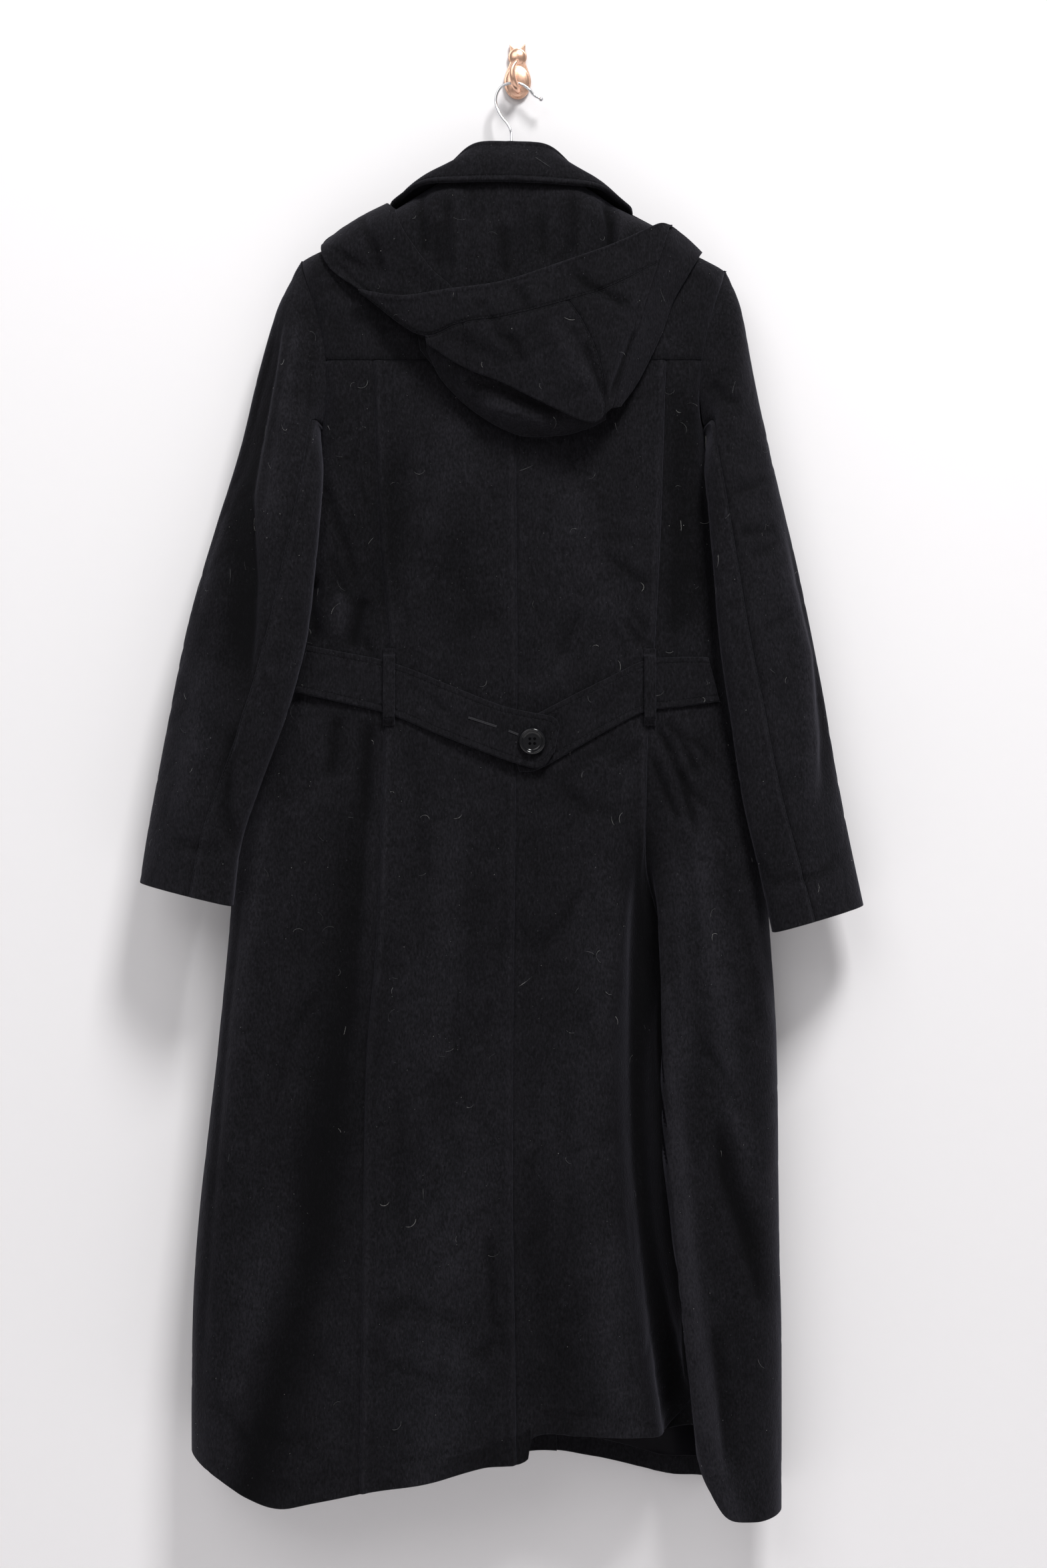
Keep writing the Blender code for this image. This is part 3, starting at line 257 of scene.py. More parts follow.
CREASES["sleeve_left", BACK] = [
    Crease(8.0, 28, 5, ((-219, -225), (-229, -268), (-239, -327), (-247, -375), (-253, -418),
                        (-250, -460), (-247, -500), (-249, -560), (-255, -617))),
    Crease(-2.4, 5, 12, ((-206, -240), (-218, -320), (-228, -400), (-238, -470))),
    Crease(1.8, 4, 5, ((-201, -222), (-206, -290), (-212, -350))),
    Crease(1.6, 4, 4, ((-192, -240), (-196, -300), (-200, -370))),
    Crease(4.2, 8, 5, ((-264, -628), (-269, -674), (-271, -713), (-266, -737), (-258, -756))),
    Crease(-2.4, 12, 12, ((-290, -560), (-302, -640), (-316, -730))),
    Crease(1.8, 6, 6, ((-320, -746), (-290, -752), (-270, -744))),
    Crease(1.6, 5, 6, ((-282, -430), (-296, -480), (-306, -540))),
]
CREASES["sleeve_left", FRONT] = [
    Crease(2.6, 9, 8, ((-214, -260), (-246, -400), (-262, -540), (-280, -700))),
    Crease(1.6, 6, 6, ((-296, -470), (-258, -486), (-226, -474))),
]
CREASES["sleeve_right", BACK] = [
    Crease(-3.4, 9, 7, ((246, -436), (258, -504), (274, -567), (279, -649), (277, -707), (266, -732))),
    Crease(4.4, 7, 12, ((258, -436), (272, -504), (287, -567), (292, -649), (290, -707))),
    Crease(2.6, 5, 5, ((200, -418), (222, -408), (248, -392))),
    Crease(2.6, 5, 5, ((206, -455), (230, -453), (246, -448))),
    Crease(2.0, 4, 4, ((216, -476), (238, -466), (250, -458))),
    Crease(2.2, 5, 5, ((228, -547), (250, -534), (262, -528))),
    Crease(2.6, 6, 5, ((182, -308), (196, -326), (212, -330))),
    Crease(2.2, 4, 5, ((232, -784), (258, -780), (284, -776), (306, -756))),
    Crease(1.8, 4, 4, ((222, -752), (238, -786))),
    Crease(-1.8, 8, 8, ((228, -330), (238, -380), (244, -430))),
]
CREASES["sleeve_right", FRONT] = [
    Crease(2.4, 9, 8, ((208, -280), (236, -420), (252, -560), (270, -720))),
    Crease(1.6, 6, 6, ((196, -470), (228, -484), (262, -474))),
]
CREASES["hood", BACK] = [
    Crease(4.0, 5, 6, ((-90, -126), (-91, -155), (-86, -194))),
    Crease(3.6, 5, 6, ((-66, -130), (-66, -185), (-60, -212))),
    Crease(2.6, 5, 5, ((-78, -160), (-74, -206))),
    Crease(-1.2, 2, 2, ((-29, -122), (-28, -150), (-28, -214))),
    Crease(3.4, 5, 6, ((-14, -160), (-10, -214))),
    Crease(2.4, 6, 6, ((22, -150), (24, -196))),
    Crease(3.0, 5, 6, ((51, -126), (53, -170), (50, -196))),
    Crease(5.4, 5, 5, ((84, -136), (88, -165), (88, -194))),
    Crease(-3.0, 4, 6, ((95, -142), (97, -190))),
]
CREASES["side", BACK] = [
    Crease(2.6, 5, 4, ((-148, -146), (-143, -165), (-133, -190), (-127, -214))),
    Crease(1.8, 4, 4, ((-176, -182), (-160, -194), (-142, -204))),
    Crease(1.4, 2, 2, ((-176, -190), (-158, -210), (-138, -228), (-112, -246))),
]
CREASES["crown", BACK] = [
    Crease(2.8, 4, 5, ((-2, -224), (4, -236), (11, -250))),
    Crease(2.6, 4, 5, ((-10, -270), (0, -288), (6, -301))),
    Crease(3.0, 5, 5, ((50, -208), (64, -224), (82, -232), (106, -246))),
    Crease(3.4, 4, 5, ((112, -262), (98, -300), (86, -332))),
    Crease(3.0, 4, 5, ((60, -276), (74, -310), (84, -336))),
    Crease(1.8, 8, 8, ((-80, -262), (-40, -282), (-4, -300))),
    Crease(-2.0, 7, 7, ((30, -256), (52, -296), (74, -326))),
    Crease(1.8, 5, 5, ((-40, -236), (-20, -262), (-12, -280))),
]
CREASES["pouch", BACK] = [
    Crease(3.6, 6, 5, ((-52, -312), (-20, -318), (14, -332), (48, -346))),
    Crease(-2.4, 6, 6, ((-38, -332), (0, -342), (36, -354))),
]
CREASES["belt", BACK] = [
    Crease(1.0, 5, 5, ((-104, -598), (-70, -618), (-40, -640))),
    Crease(1.2, 5, 4, ((22, -662), (28, -640), (38, -622))),
    Crease(1.0, 5, 5, ((70, -628), (92, -606), (108, -592))),
]

# Sleeves: each row is one cross-section, from its outer to its inner edge.
Cut = namedtuple("Cut", "x_out z_out x_in z_in y_out y_in half_depth")
SLEEVE_LEFT = [
    Cut(-230, -237, -187.5, -360, -37, -47, 24),
    Cut(-248, -301, -184, -392, -41, -64, 24),
    Cut(-266, -377, -186, -436, -46, -74, 24),
    Cut(-289, -453, -191, -491, -50, -77, 24),
    Cut(-311, -529, -198, -552, -53, -78, 24),
    Cut(-327, -605, -214, -617, -55, -82, 24),
    Cut(-341, -681, -242, -695, -56, -85, 24),
    Cut(-350, -732, -259, -748, -57, -87, 24),
    Cut(-358, -784, -266, -805, -57, -88, 26),
]
SLEEVE_RIGHT = [
    Cut(214, -237, 180.5, -360, -37, -47, 24),
    Cut(226, -301, 177, -392, -38, -63, 24),
    Cut(242, -376, 180, -430, -39, -71, 24),
    Cut(260, -452, 185, -490, -40, -73, 24),
    Cut(277, -528, 191, -560, -41, -75, 24),
    Cut(292, -605, 201, -630, -42, -74, 24),
    Cut(305, -681, 211, -700, -43, -77, 24),
    Cut(317, -745, 225, -764, -44, -80, 24),
    Cut(330, -806, 239, -830, -45, -82, 26),
]
BACK_SEAM_TURN = (125, 94)  # degrees round the sleeve at the armhole and at the cuff
SEAM_TURN_UNDER = 28     # the back seam starts this many degrees further under the arm
SEAM_TURN_RUN = 0.14     # and leaves that behind over this share of the sleeve
FRONT_SEAM_TURN = 235
SLEEVE_SEAM_GAP = -0.06
SLEEVE_ROUNDNESS = 0.86
SLEEVE_WAVE = 0.8        # the sleeves' waves against the body's

# Collar: half of it, from the back's middle to its front end. Across is measured from NECK_X.
Turn = namedtuple("Turn", "fold_across fold_y fold_z edge_across edge_y edge_z bulge")
COLLAR = [
    Turn(0, -55, -79, 0, -70, -121, 3),
    Turn(32, -54, -81, 42, -69, -122, 3),
    Turn(52, -48, -95, 85, -64, -124, 4),
    Turn(64, -39, -108, 110, -49, -136, 5),
    Turn(67, -30, -117, 117, -34, -141, 4),
    Turn(66, -21, -129, 113, -11, -153, 4),
    Turn(63, -7.8, -144, 102, -5.2, -176, 0.5),
    Turn(57, -4.8, -162, 86, -5, -199, 0),
]
COLLAR_TILT = 0.022      # the collar's right side hangs lower by this share of its width
FOLD_RADIUS = 5.0        # of the collar where it turns down
COLLAR_BEND = 0.2        # share of the fall that goes round that fold
COLLAR_LIFT = 0.6        # the fall's bulge leads up by this share of its way out
FALL_START = 0.012       # share of the fall at which its upper edge lies
STAND_REACH = 2.9        # the stand ends at this row of the collar
STAND_HALF = 62          # half the stand's width at the neckline
STAND_DROP = 2.0         # the stand ends this far below the fall's inside
STAND_INSET = 2.6        # it lies this far inside the yoke's face
NECK_SEAM = 0.9          # and ends this far over the yoke

# Hood: each row is a station; two ends of a run, how far off the back they are, and its bulge.
Drape = namedtuple("Drape", "x_top z_top off_top x_low z_low off_low bulge")
HOOD_NECK = [
    Drape(-118, -143, 5, -92, -280, 8, 2),
    Drape(-73, -119, 10, -70, -306, 8, 4),
    Drape(-40, -117, 5, -42, -334, 8, 6),
    Drape(-6, -116, 5, -2, -356, 8, 6),
    Drape(27, -117, 5, 30, -359, 8, 6),
    Drape(58, -119.5, 10, 60, -354, 8, 6),
    Drape(95, -142.5, 6, 82, -342, 8, 5),
    Drape(138, -163, 6, 112, -262, 9, 2),
]
HOOD_SIDE_LEFT = [
    Drape(-124, -136, 14, -117, -146, 17, 0),
    Drape(-148, -145, 13, -108, -167, 19, 1),
    Drape(-169, -159, 11, -94, -188, 19, 1),
    Drape(-187, -174, 5.5, -79, -207, 19, 1),
    Drape(-179, -200, 3.2, -64, -220, 19, 1),
    Drape(-148, -224, 9, -50, -236, 19, 1),
    Drape(-124, -244, 12, -48, -250, 19, 1),
]
HOOD_CROWN = [
    Drape(-151, -223, 12.4, -149, -227, 12, 0),
    Drape(-109, -231, 25, -100, -266, 22, 1),
    Drape(-63, -226, 34, -54, -298, 29, 3),
    Drape(-14, -220, 39, -14, -315, 34, 5),
    Drape(42, -202, 40, 26, -335, 35, 7),
    Drape(97, -181, 34, 69, -352, 32, 7),
    Drape(147, -155, 24, 89, -338, 26, 5),
]
BAND_SHARE = [1.0, 0.97, 0.48, 0.36, 0.30, 0.25, 0.25]  # of the crown's run that the band takes
BAND_CORNER = 6          # the hood's upper right corner is rounded off by this much
BAND_CORNER_START = 0.94  # from this share of the band on
BAND_CORNER_RUN = 0.2    # and over this share of its depth
CROWN_START = (1.3, 1.3)  # stations of the crown's panel edges, at their top and their low end
CROWN_SEAM_LEFT = (2.15, 2.15)
CROWN_SEAM_RIGHT = (4.2, 5.6)
CROWN_CLOTH = 2.0
# Gathers of the hood's inner layer: share of their depth, waves over the stations, and their start.
GATHERS = ((1.0, 5.3, 0.6), (0.6, 8.9, 2.0))
GATHER_DEPTH = 2.4
GATHER_START = 0.25      # they reach their full depth at this share of the layer's length
GATHER_END = (1.1, 0.5)  # and fade out towards this share, over this run
NECK_TUCK = 0.03         # the inner layer's top runs on under the collar by this share of its length
HOOD_SEAM = -0.0008      # the crown's panels touch, as shares of their stations
CROWN_TUCK = 3.0         # the hood's right side starts this far inside the crown
Edge = namedtuple("Edge", "x z off")
HOOD_SIDE_RIGHT = [
    Edge(177, -183, 5.4),
    Edge(162, -209, 4),
    Edge(148, -234, 3.4),
    Edge(136, -267, 4),
    Edge(115, -310, 8),
    Edge(98, -335, 16),
]
HOOD_POUCH = [
    Drape(-86, -262, 12, -86, -281, 10.6, 1),
    Drape(-66, -276, 20, -72, -309, 10.6, 4),
    Drape(-38, -290, 24, -43, -338, 10.6, 6),
    Drape(-4, -304, 27, -2, -361, 10.6, 8),
    Drape(30, -318, 28, 30, -363, 10.6, 8),
    Drape(60, -330, 26, 61, -358, 10.6, 6),
    Drape(84, -335, 20, 84, -347, 10.6, 2),
]

# The belt: each row is a station along it, with its upper and its lower edge.
Strip = namedtuple("Strip", "x_top z_top x_low z_low lift")
BELT_LEFT = [
    Strip(-199, -559, -211, -603, 3.0),
    Strip(-162, -566, -172, -612, 1.2),
    Strip(-127, -573, -129, -622, 0),
    Strip(-97, -583, -106, -630, 0),
    Strip(-66, -596, -83, -640, 1),
    Strip(-18, -615, -42, -656, 4),
    Strip(10, -622, -4, -670, 5),
    Strip(34, -627, 22, -675, 5),
    Strip(40, -636, 35, -660, 5),
]
BELT_RIGHT = [
    Strip(-10, -636, 2, -679, 0),
    Strip(16, -625, 21, -676, 0),
    Strip(49, -608, 60, -654, 0),
    Strip(85, -590, 90, -637, 0),
    Strip(121, -573, 121, -622, 0),
    Strip(150, -570, 156, -617, 0),
    Strip(181, -570, 192, -612, 1.2),
]
LOOP_LEFT_X = -121.5
LOOP_RIGHT_X = 125.5
LOOP_TOP_Z = -562
LOOP_LOW_Z = -635
LOOP_WIDTH = 11
LOOP_RISE = (5, 3)       # a loop lifts off this far below its top, over this run
LOOP_FALL = (4, 4)       # and comes down this far above its low end
BELT_CALM = (10, 8)      # cloth lies flat this far beyond the belt, and fades to that over this run
LOOP_CALM = (12, 4)      # the same on both sides of a loop's middle line
LOOP_END_CALM = (8, 6)   # and beyond its ends
BELT_LEFT_END = 30       # the belt's halves end here, in x
BELT_RIGHT_END = -10
NOWHERE = -2000          # a height below everything

# A button's profile from its flat back over its ridged rim into its dish: inside its radius by, and height.
BUTTON_RIM = [
    (2.0, 0), (1.0, 0.15), (0.3, 0.7), (0, 1.5), (0.15, 2.3), (0.7, 3.1), (1.4, 3.7), (2.1, 4.0),
    (2.7, 3.85), (3.4, 3.2), (4.2, 2.3), (5.0, 1.75), (6.0, 1.6), (7.4, 1.75),
]
BUTTON_MIDDLE = (0.6, 0, 2.1)  # radius of the profile's two ends, and their heights
BUTTON_SIDES = 64
HOLE_SIDES = 24
CUT_REACH = 6            # a hole's cutter reaches this far both ways
BUTTON_HOLE_RADIUS = 1.3
BUTTON_HOLE_REACH = 3.2  # from the button's middle
BUTTON_SHANK = 1.3
PLUG = (0.9, -0.4, 0.7)  # thread in a hole: radius, and where it starts and ends over the button's back
SHANK = (1.9, -BUTTON_SHANK * 0.9, 0.3)  # the same for the thread behind the button
BELT_BUTTON = (14, -650)
FRONT_BUTTON_Z = (-235, -360, -485, -610)

# Wire: x, y, z and radius, from its ball end over the prong and down to the hanger's bar.
WIRE_ROUTE = [
    (24.6, -15, -30.0, 0.4), (24.3, -15, -29.8, 1.3), (23.6, -15, -29.4, 2.0), (22.8, -15, -28.9, 2.25),
    (22.0, -15, -28.4, 2.0), (21.4, -15, -28.0, 1.5), (20.5, -15, -27.5, 1.4), (16.0, -15, -25.0, 1.4),
    (11.6, -15, -19.8, 1.4), (5.8, -15, -15.4, 1.4), (1.0, -15, -13.7, 1.4), (-4.0, -15, -13.2, 1.4),
    (-9.5, -15, -13.9, 1.4), (-15.5, -15, -16.8, 1.4), (-19.6, -15.5, -22.9, 1.4),
    (-21.2, -16.5, -31.0, 1.4), (-19.3, -18, -39.5, 1.4), (-15.3, -20, -47.2, 1.4),
    (-10.3, -22, -53.8, 1.4), (-7.0, -24, -60.5, 1.4), (-5.9, -27, -69.0, 1.4), (-6.0, -31, -88.0, 1.4),
    (-6.0, -35.5, -116.0, 1.4),
]
PLATE_THICK = 4
PLATE_EDGE = 0.8         # the domes stand this much over the plate
DOME_Y = -1.4
HEAD_DOME = (0.6, 4.2, 0.6)  # the head's dome: inside the outline by, and half its depth in the middle
BODY_DOME = (0.6, 4.4, 0.8)
CAST_GRAIN = 0.36        # of the cast form's mesh
NECK_ANGLE = 62
HEAD_CENTRE_Z = 15.5
HEAD_RADIUS = 9
EAR_TIP = (7.7, 28.5)
EAR_ROOT = (2.9, 23.9)
BODY_CENTRE_Z = -8.5
BODY_HALF_WIDTH = 13
BODY_HALF_HEIGHT = 17
PRONG_ROUTE = [
    (0.5, -3.0, -16.8, 2.6), (0.2, -8.0, -18.7, 2.9), (-0.2, -12.5, -19.0, 3.1),
    (-1.6, -17.6, -17.6, 3.3), (-3.6, -20.6, -13.0, 3.3), (-5.0, -21.6, -7.0, 3.1),
    (-4.6, -21.6, 0.0, 2.6), (-1.8, -20.0, 5.0, 2.0), (0.4, -18.2, 8.2, 1.5),
]

# Points of a piece lie close together near its edges, where it is rounded and stitched.
FINE_EDGE = (0, 0.25, 0.7, 1.3, 2.2, 3.4, 5.0)
STITCHED_EDGE = (0, 0.25, 0.7, 1.3, 2.2, 3.4, 4.6, 5.3, 5.9, 6.5, 7.1, 8.0)
DENSE = 0.5 - 0.5 * np.cos(np.pi * np.linspace(0, 1, 241))

# A line of stitches runs along one edge of a piece, so far inside it.
StitchLine = namedtuple("StitchLine", "piece edge inset")
EDGE_INSET = 6           # of a line along a free edge
SEAM_INSET = 2.2         # of a line along a seam
STITCH_LINES = [StitchLine(piece, edge, inset) for piece, edges, inset in (
    ("belt_left", "top low right", EDGE_INSET),
    ("belt_right", "top low left", EDGE_INSET),
    ("hood_band", "low", SEAM_INSET),
    ("hood_crown_left", "top", SEAM_INSET),
    ("hood_crown_centre", "top", SEAM_INSET),
    ("hood_crown_right", "top", SEAM_INSET),
    ("hood_crown_centre", "left right", SEAM_INSET),
    ("collar_fall", "low", EDGE_INSET),
    ("sleeve_left_under", "left", SEAM_INSET),
    ("sleeve_right_under", "left", SEAM_INSET),
) for edge in edges.split()]
SEAM_STITCH_START = 90   # the sleeve's line of stitches starts this far below the armhole
HOLES = [((-45.9, -627.6), (-18.8, -636.4)), ((-8, -640.2), (1.4, -644))]
HOLE_STATIONS = (-76, -32, 3)  # x of the belt's stations 4 to 6, at the buttonholes' height
HOLE_STITCH = 0.55       # of a buttonhole: distance between its stitches
HOLE_HALF = 0.9          # and half its width
HOLE_SLIT = 0.15         # its slit takes this share of that
HOLE_SINK = 0.05         # its stitches' ends lie this much below the belt's face
HOLE_ARCH = 0.45         # and their middles this much above their ends
HOLE_THREAD = (0.2, 0.3)  # radius of a stitch at its ends and in its middle
STITCH_PITCH = 3.6
STITCH_LENGTH = 2.7
STITCH_RADIUS = 0.26
STITCH_CLEAR = 1.5       # a line along a seam stops this far before the piece's ends
# A stitch: share of its length, height over the cloth, and share of its radius.
STITCH_SHAPE = ((0, -0.25, 0.1), (0.15, 0.05, 0.9), (0.5, 0.2, 1.0), (0.85, 0.05, 0.9), (1, -0.25, 0.1))

LINT_SEED = 11
LINT_MARGIN = 8          # points of a piece's grid next to its edges that stay clean
HAIR_POINTS = 8
HAIR_RADIUS = 0.048
HAIR_END_RADIUS = 0.03
HAIR_LIFT = 0.25

# A seam's ridge on the viewer's side: how high, how far from the seam, and how wide.
Ridge = namedtuple("Ridge", "piece edge height at wide")
RIDGES = [
    Ridge("back_left", "left", 2.1, 4.2, 2.4),
    Ridge("back_right", "right", 2.1, 4.2, 2.4),
    Ridge("back_left", "right", 1.7, 3.6, 2.2),
    Ridge("back_right", "left", 0.5, 2.5, 2.0),
    Ridge("sleeve_left_under", "left", 1.0, 4.0, 3.0),
    Ridge("sleeve_right_under", "left", 1.2, 4.0, 3.0),
    Ridge("collar_fall", "low", 0.9, 2.8, 2.2),
    Ridge("hood_band", "top", 0.9, 3.0, 2.4),
    Ridge("hood_pouch", "top", 0.7, 3.0, 2.4),
]
SEAM_RADIUS = 1.1        # of the cloth's round where it turns into a seam
SEAM_INSIDE_RADIUS = 0.25  # and of the round on its inside
SEAM_DIP = 1.0           # cloth sinks this much towards a seam
SEAM_REACH = 3.0
PAINTED_SHADE_DEPTH = 3.2         # painted shade: cloth is painted darker towards this depth below its surroundings, and paler on its ridges as a painted highlight
PAINTED_SHADE_DARKEST = -1.8
PAINTED_SHADE_FOLDS = 0.5         # large folds count this much in that depth
CREASE_FADE = 0.22       # a crease fades out over this share of its length at both ends
CREASE_END = 0.12        # and has started to fade in already where it ends
CREASE_TURN = 1.6        # it fades out where the cloth turns away from its face
CALM_REACH = 25          # waves are weaker this near an edge
WAVE_SIZE = 58           # of the cloth's slow waves
RIPPLE_SIZE = 21
RIPPLE_SHARE = 0.45
WAVE_STRETCH = 3.0       # both are this much longer down than across
SLANT_THIN = 0.07        # of its noise's reach, that a slanting wrinkle takes
CROSS_THIN = 0.06        # and one that crosses it
WRINKLE_HEIGHT = 1.6     # of a wrinkle against the waves' height
WRINKLE_BIAS = 0.25      # more wrinkles of either kind, the larger this is
STITCH_SINK = 0.7        # cloth sinks this much under a line of stitches
STITCH_SINK_WIDE = 0.8
# Above this line the vent's upper layer lies on the lower one.
VENT_EDGE = [Hem(-150, -1349), Hem(-87, -1331), Hem(-50, -1315), Hem(0, -1299), Hem(12, -1293)]
VENT_STEP = 2.6          # the lower layer lies this much deeper
VENT_RIGHT_X = 12        # the vent ends here
VENT_RIGHT_RUN = 4
VENT_RIGHT_DROP = 300    # past that the line drops out of reach
VENT_LEFT_X = -100       # the step starts here
VENT_LEFT_RUN = 50       # and has its full depth after this run

GRIDS = {}               # each piece's outer points and directions, for what is sewn or lies on it


def curve(places, values, at):
    """Cubic curve through the values, level beyond both ends. A value may be a whole grid."""
    places = np.asarray(places, float)
    values = np.asarray(values, float)
    at = np.clip(np.asarray(at, float), places[0], places[-1])
    i = np.clip(np.searchsorted(places, at) - 1, 0, len(places) - 2)
    before = np.maximum(i - 1, 0)
    after = np.minimum(i + 2, len(places) - 1)

    def pick(k):
        if values.ndim == 1:
            return values[k]
        return np.take_along_axis(values, k[None], 0)[0]
    span = places[i + 1] - places[i]
    share = (at - places[i]) / span
    slope_a = (pick(i + 1) - pick(before)) / (places[i + 1] - places[before]) * span
    slope_b = (pick(after) - pick(i)) / (places[after] - places[i]) * span
    cube = share ** 3
    square = share ** 2
    return (pick(i) * (2 * cube - 3 * square + 1) + slope_a * (cube - 2 * square + share)
            + pick(i + 1) * (3 * square - 2 * cube) + slope_b * (cube - square))


def read(table, along, wanted, at):
    """A column of a table, read between its rows. The rows may run up or down."""
    rows = sorted(table, key=lambda row: getattr(row, along))
    return curve([getattr(row, along) for row in rows], [getattr(row, wanted) for row in rows], at)


def by_station(table, wanted, station):
    """A column of a table whose rows are numbered stations."""
    return curve(range(len(table)), [getattr(row, wanted) for row in table], station)


def mix(a, b, share):
    return a + (b - a) * share


def ease(share):
    share = np.clip(share, 0.0, 1.0)
    return share * share * (3 - 2 * share)


def xyz(x, y, z):
    return np.stack(np.broadcast_arrays(x, y, z), -1).astype(float)


def unit(vectors):
    return vectors / np.maximum(np.linalg.norm(vectors, axis=-1, keepdims=True), 1e-9)


def shoulder_z(x):
    """Height of the shoulder line, carried on over the neck."""
    neck_left = NECK_X - NECK_HALF
    neck_right = NECK_X + NECK_HALF
    left = mix(NECK_LEFT_Z, TIP_LEFT[1], (neck_left - x) / (neck_left - TIP_LEFT[0]))
    right = mix(NECK_RIGHT_Z, TIP_RIGHT[1], (x - neck_right) / (TIP_RIGHT[0] - neck_right))
    return np.minimum(left, right)


def top_edge_z(face, x):
    """Upper edge of the body's panels: the shoulder line, and the neckline between its ends."""
    across = np.abs(x - NECK_X) / NECK_HALF
    drop = BACK_NECK_DROP if face == BACK else FRONT_NECK_DROP
    neck_side = mix(NECK_LEFT_Z, NECK_RIGHT_Z, (x - NECK_X + NECK_HALF) / (2 * NECK_HALF))
    neckline = neck_side - drop * np.sqrt(np.clip(1 - across * across, 0, 1))
    return np.where(across >= 1, shoulder_z(x), neckline)


def level(z):
    """Middle, flat half width, edge radius, middle depth and half depth of the body at a height."""
    left, right, back, front = (read(BODY, "z", wanted, z) for wanted in ("left", "right", "back", "front"))
    half_depth = (front - back) / 2
    radius = half_depth * EDGE_ROUNDNESS
    return (left + right) / 2, (right - left) / 2 - radius, radius, (back + front) / 2, half_depth


def fold_depth(face, x, z):
    """How far the large folds draw the cloth in at a place."""
    total = 0.0
    for fold in FOLDS:
        run = np.minimum((fold.z_top - z) / (fold.z_top - fold.z_low), 1.1)
        line = (fold.x_top * (1 - run) * (1 - 2 * run) + 4 * fold.x_middle * run * (1 - run)
                - fold.x_low * run * (1 - 2 * run))
        depth = fold.depth * ease(run / 0.5) * np.exp(-((x - line) / fold.width) ** 2)
        total = total + np.where((face == fold.face) & (run >= 0), depth, 0.0)
    return total


def shoulder_share(x, z, off):
    """Share of its full depth that the cloth has just below the shoulder line."""
    height = SHOULDER_ROUND + off
    below = np.clip((shoulder_z(x) + SHOULDER_SLOPE * off - z) / height, 0, 1)
    return np.sqrt(1 - (1 - below) ** 2)


def depth_at(face, x, z, turn_cos, off, place):
    """Distance from the wall of a point on the body, or off it."""
    middle, flat, _, middle_y, half_depth = place
    across = np.minimum(np.abs(x - middle) / flat, 1.0)
    crown = BACK_CROWN * np.cos(across * np.pi / 2) ** 2 * ease((CROWN_TOP_Z - z) / CROWN_RISE)
    swell = half_depth + off + np.where(face == BACK, crown, 0.0) - fold_depth(face, x, z)
    return middle_y - face * swell * turn_cos * shoulder_share(x, z, off)


def body_point(face, along, z, off=0.0):
    """Point of the body. Along is measured round it from its middle line."""
    place = level(z)
    middle, flat, radius = place[:3]
    turn = np.maximum(np.abs(along) - flat, 0.0) / radius
    x = middle + np.sign(along) * (np.minimum(np.abs(along), flat) + (radius + off) * np.sin(turn))
    return xyz(x, depth_at(face, x, z, np.cos(turn), off, place), z)


def on_back(x, z, off):
    """Point that lies a given distance off the back, straight in front of a place on it."""
    place = level(z)
    middle, flat, radius = place[:3]
    sine = np.minimum(np.maximum(np.abs(x - middle) - flat, 0.0) / (radius + off), 1.0)
    return xyz(x, depth_at(BACK, x, z, np.sqrt(1 - sine * sine), off, place), z)


def side_reach(z, side):
    """Length round the body from its middle to the armhole, or to the side seam below it."""
    _, flat, radius = level(z)[:3]
    tip_z = TIP_LEFT[1] if side < 0 else TIP_RIGHT[1]
    share = (z - (tip_z + UNDERARM_Z) / 2) / ((tip_z - UNDERARM_Z) / 2)
    turn = np.arcsin(np.sqrt(np.minimum(ARMHOLE_OUT + (1 - ARMHOLE_OUT) * share * share, 1)))
    return flat + radius * np.where(z > UNDERARM_Z, turn, np.pi / 2)


def level_middle(z):
    return level(z)[0]


def seam(wanted):
    """One of the seams that run down the back, measured from the body's middle line."""
    return lambda z: read(SEAMS, "z", wanted, z) - level_middle(z)


def lap(reach):
    return lambda z: FRONT_EDGE_X + reach - level_middle(z)


def side_edge(side):
    """The armhole and the side seam below it, on one side."""
    return lambda z: side * side_reach(z, side)


def lap_step(x):
    """The right front lies on the left one, nearer to the wall."""
    return LAP_STEP * ease((FRONT_EDGE_X + FRONT_LAP + LAP_RUN[0] - x) / LAP_RUN[1])


def top_edge(face):
    return lambda x: top_edge_z(face, x)


def hem(table):
    return lambda x: read(table, "x", "z", x)


def yoke_z(x):
    return YOKE_Z + 0 * x


# The body's panels: their face, four edges, step off the body, and what carries them.
Panel = namedtuple("Panel", "name face left right top low step hangs_from")
PANELS = [
    Panel("back_yoke", BACK, side_edge(-1), side_edge(1), top_edge(BACK), yoke_z, None, "hanger_body"),
    Panel("side_back_left", BACK, side_edge(-1), seam("left"), yoke_z, hem(BACK_HEM), None, "back_yoke"),
    Panel("back_left", BACK, seam("left"), seam("centre"), yoke_z, hem(BACK_HEM), None, "back_yoke"),
    Panel("back_right", BACK, seam("centre"), seam("right"), yoke_z, hem(BACK_HEM), None, "back_yoke"),
    Panel("side_back_right", BACK, seam("right"), side_edge(1), yoke_z, hem(BACK_HEM), None, "back_yoke"),
    Panel("front_left", FRONT, side_edge(-1), lap(FRONT_LAP), top_edge(FRONT), hem(FRONT_HEM), None,
          "hanger_body"),
    Panel("front_right", FRONT, lap(-FRONT_LAP), side_edge(1), top_edge(FRONT), hem(FRONT_HEM), lap_step,
          "hanger_body"),
]
BACK_PANELS = [piece.name for piece in PANELS if piece.face == BACK]
# Edges of a panel that aren't sewn, where they aren't its lower edge alone.
FREE_EDGES = {"back_yoke": (), "front_left": ("right", "low"), "front_right": ("left", "low")}
FRONT_SPACING = 1.5      # the fronts' points lie this much wider apart than the back's


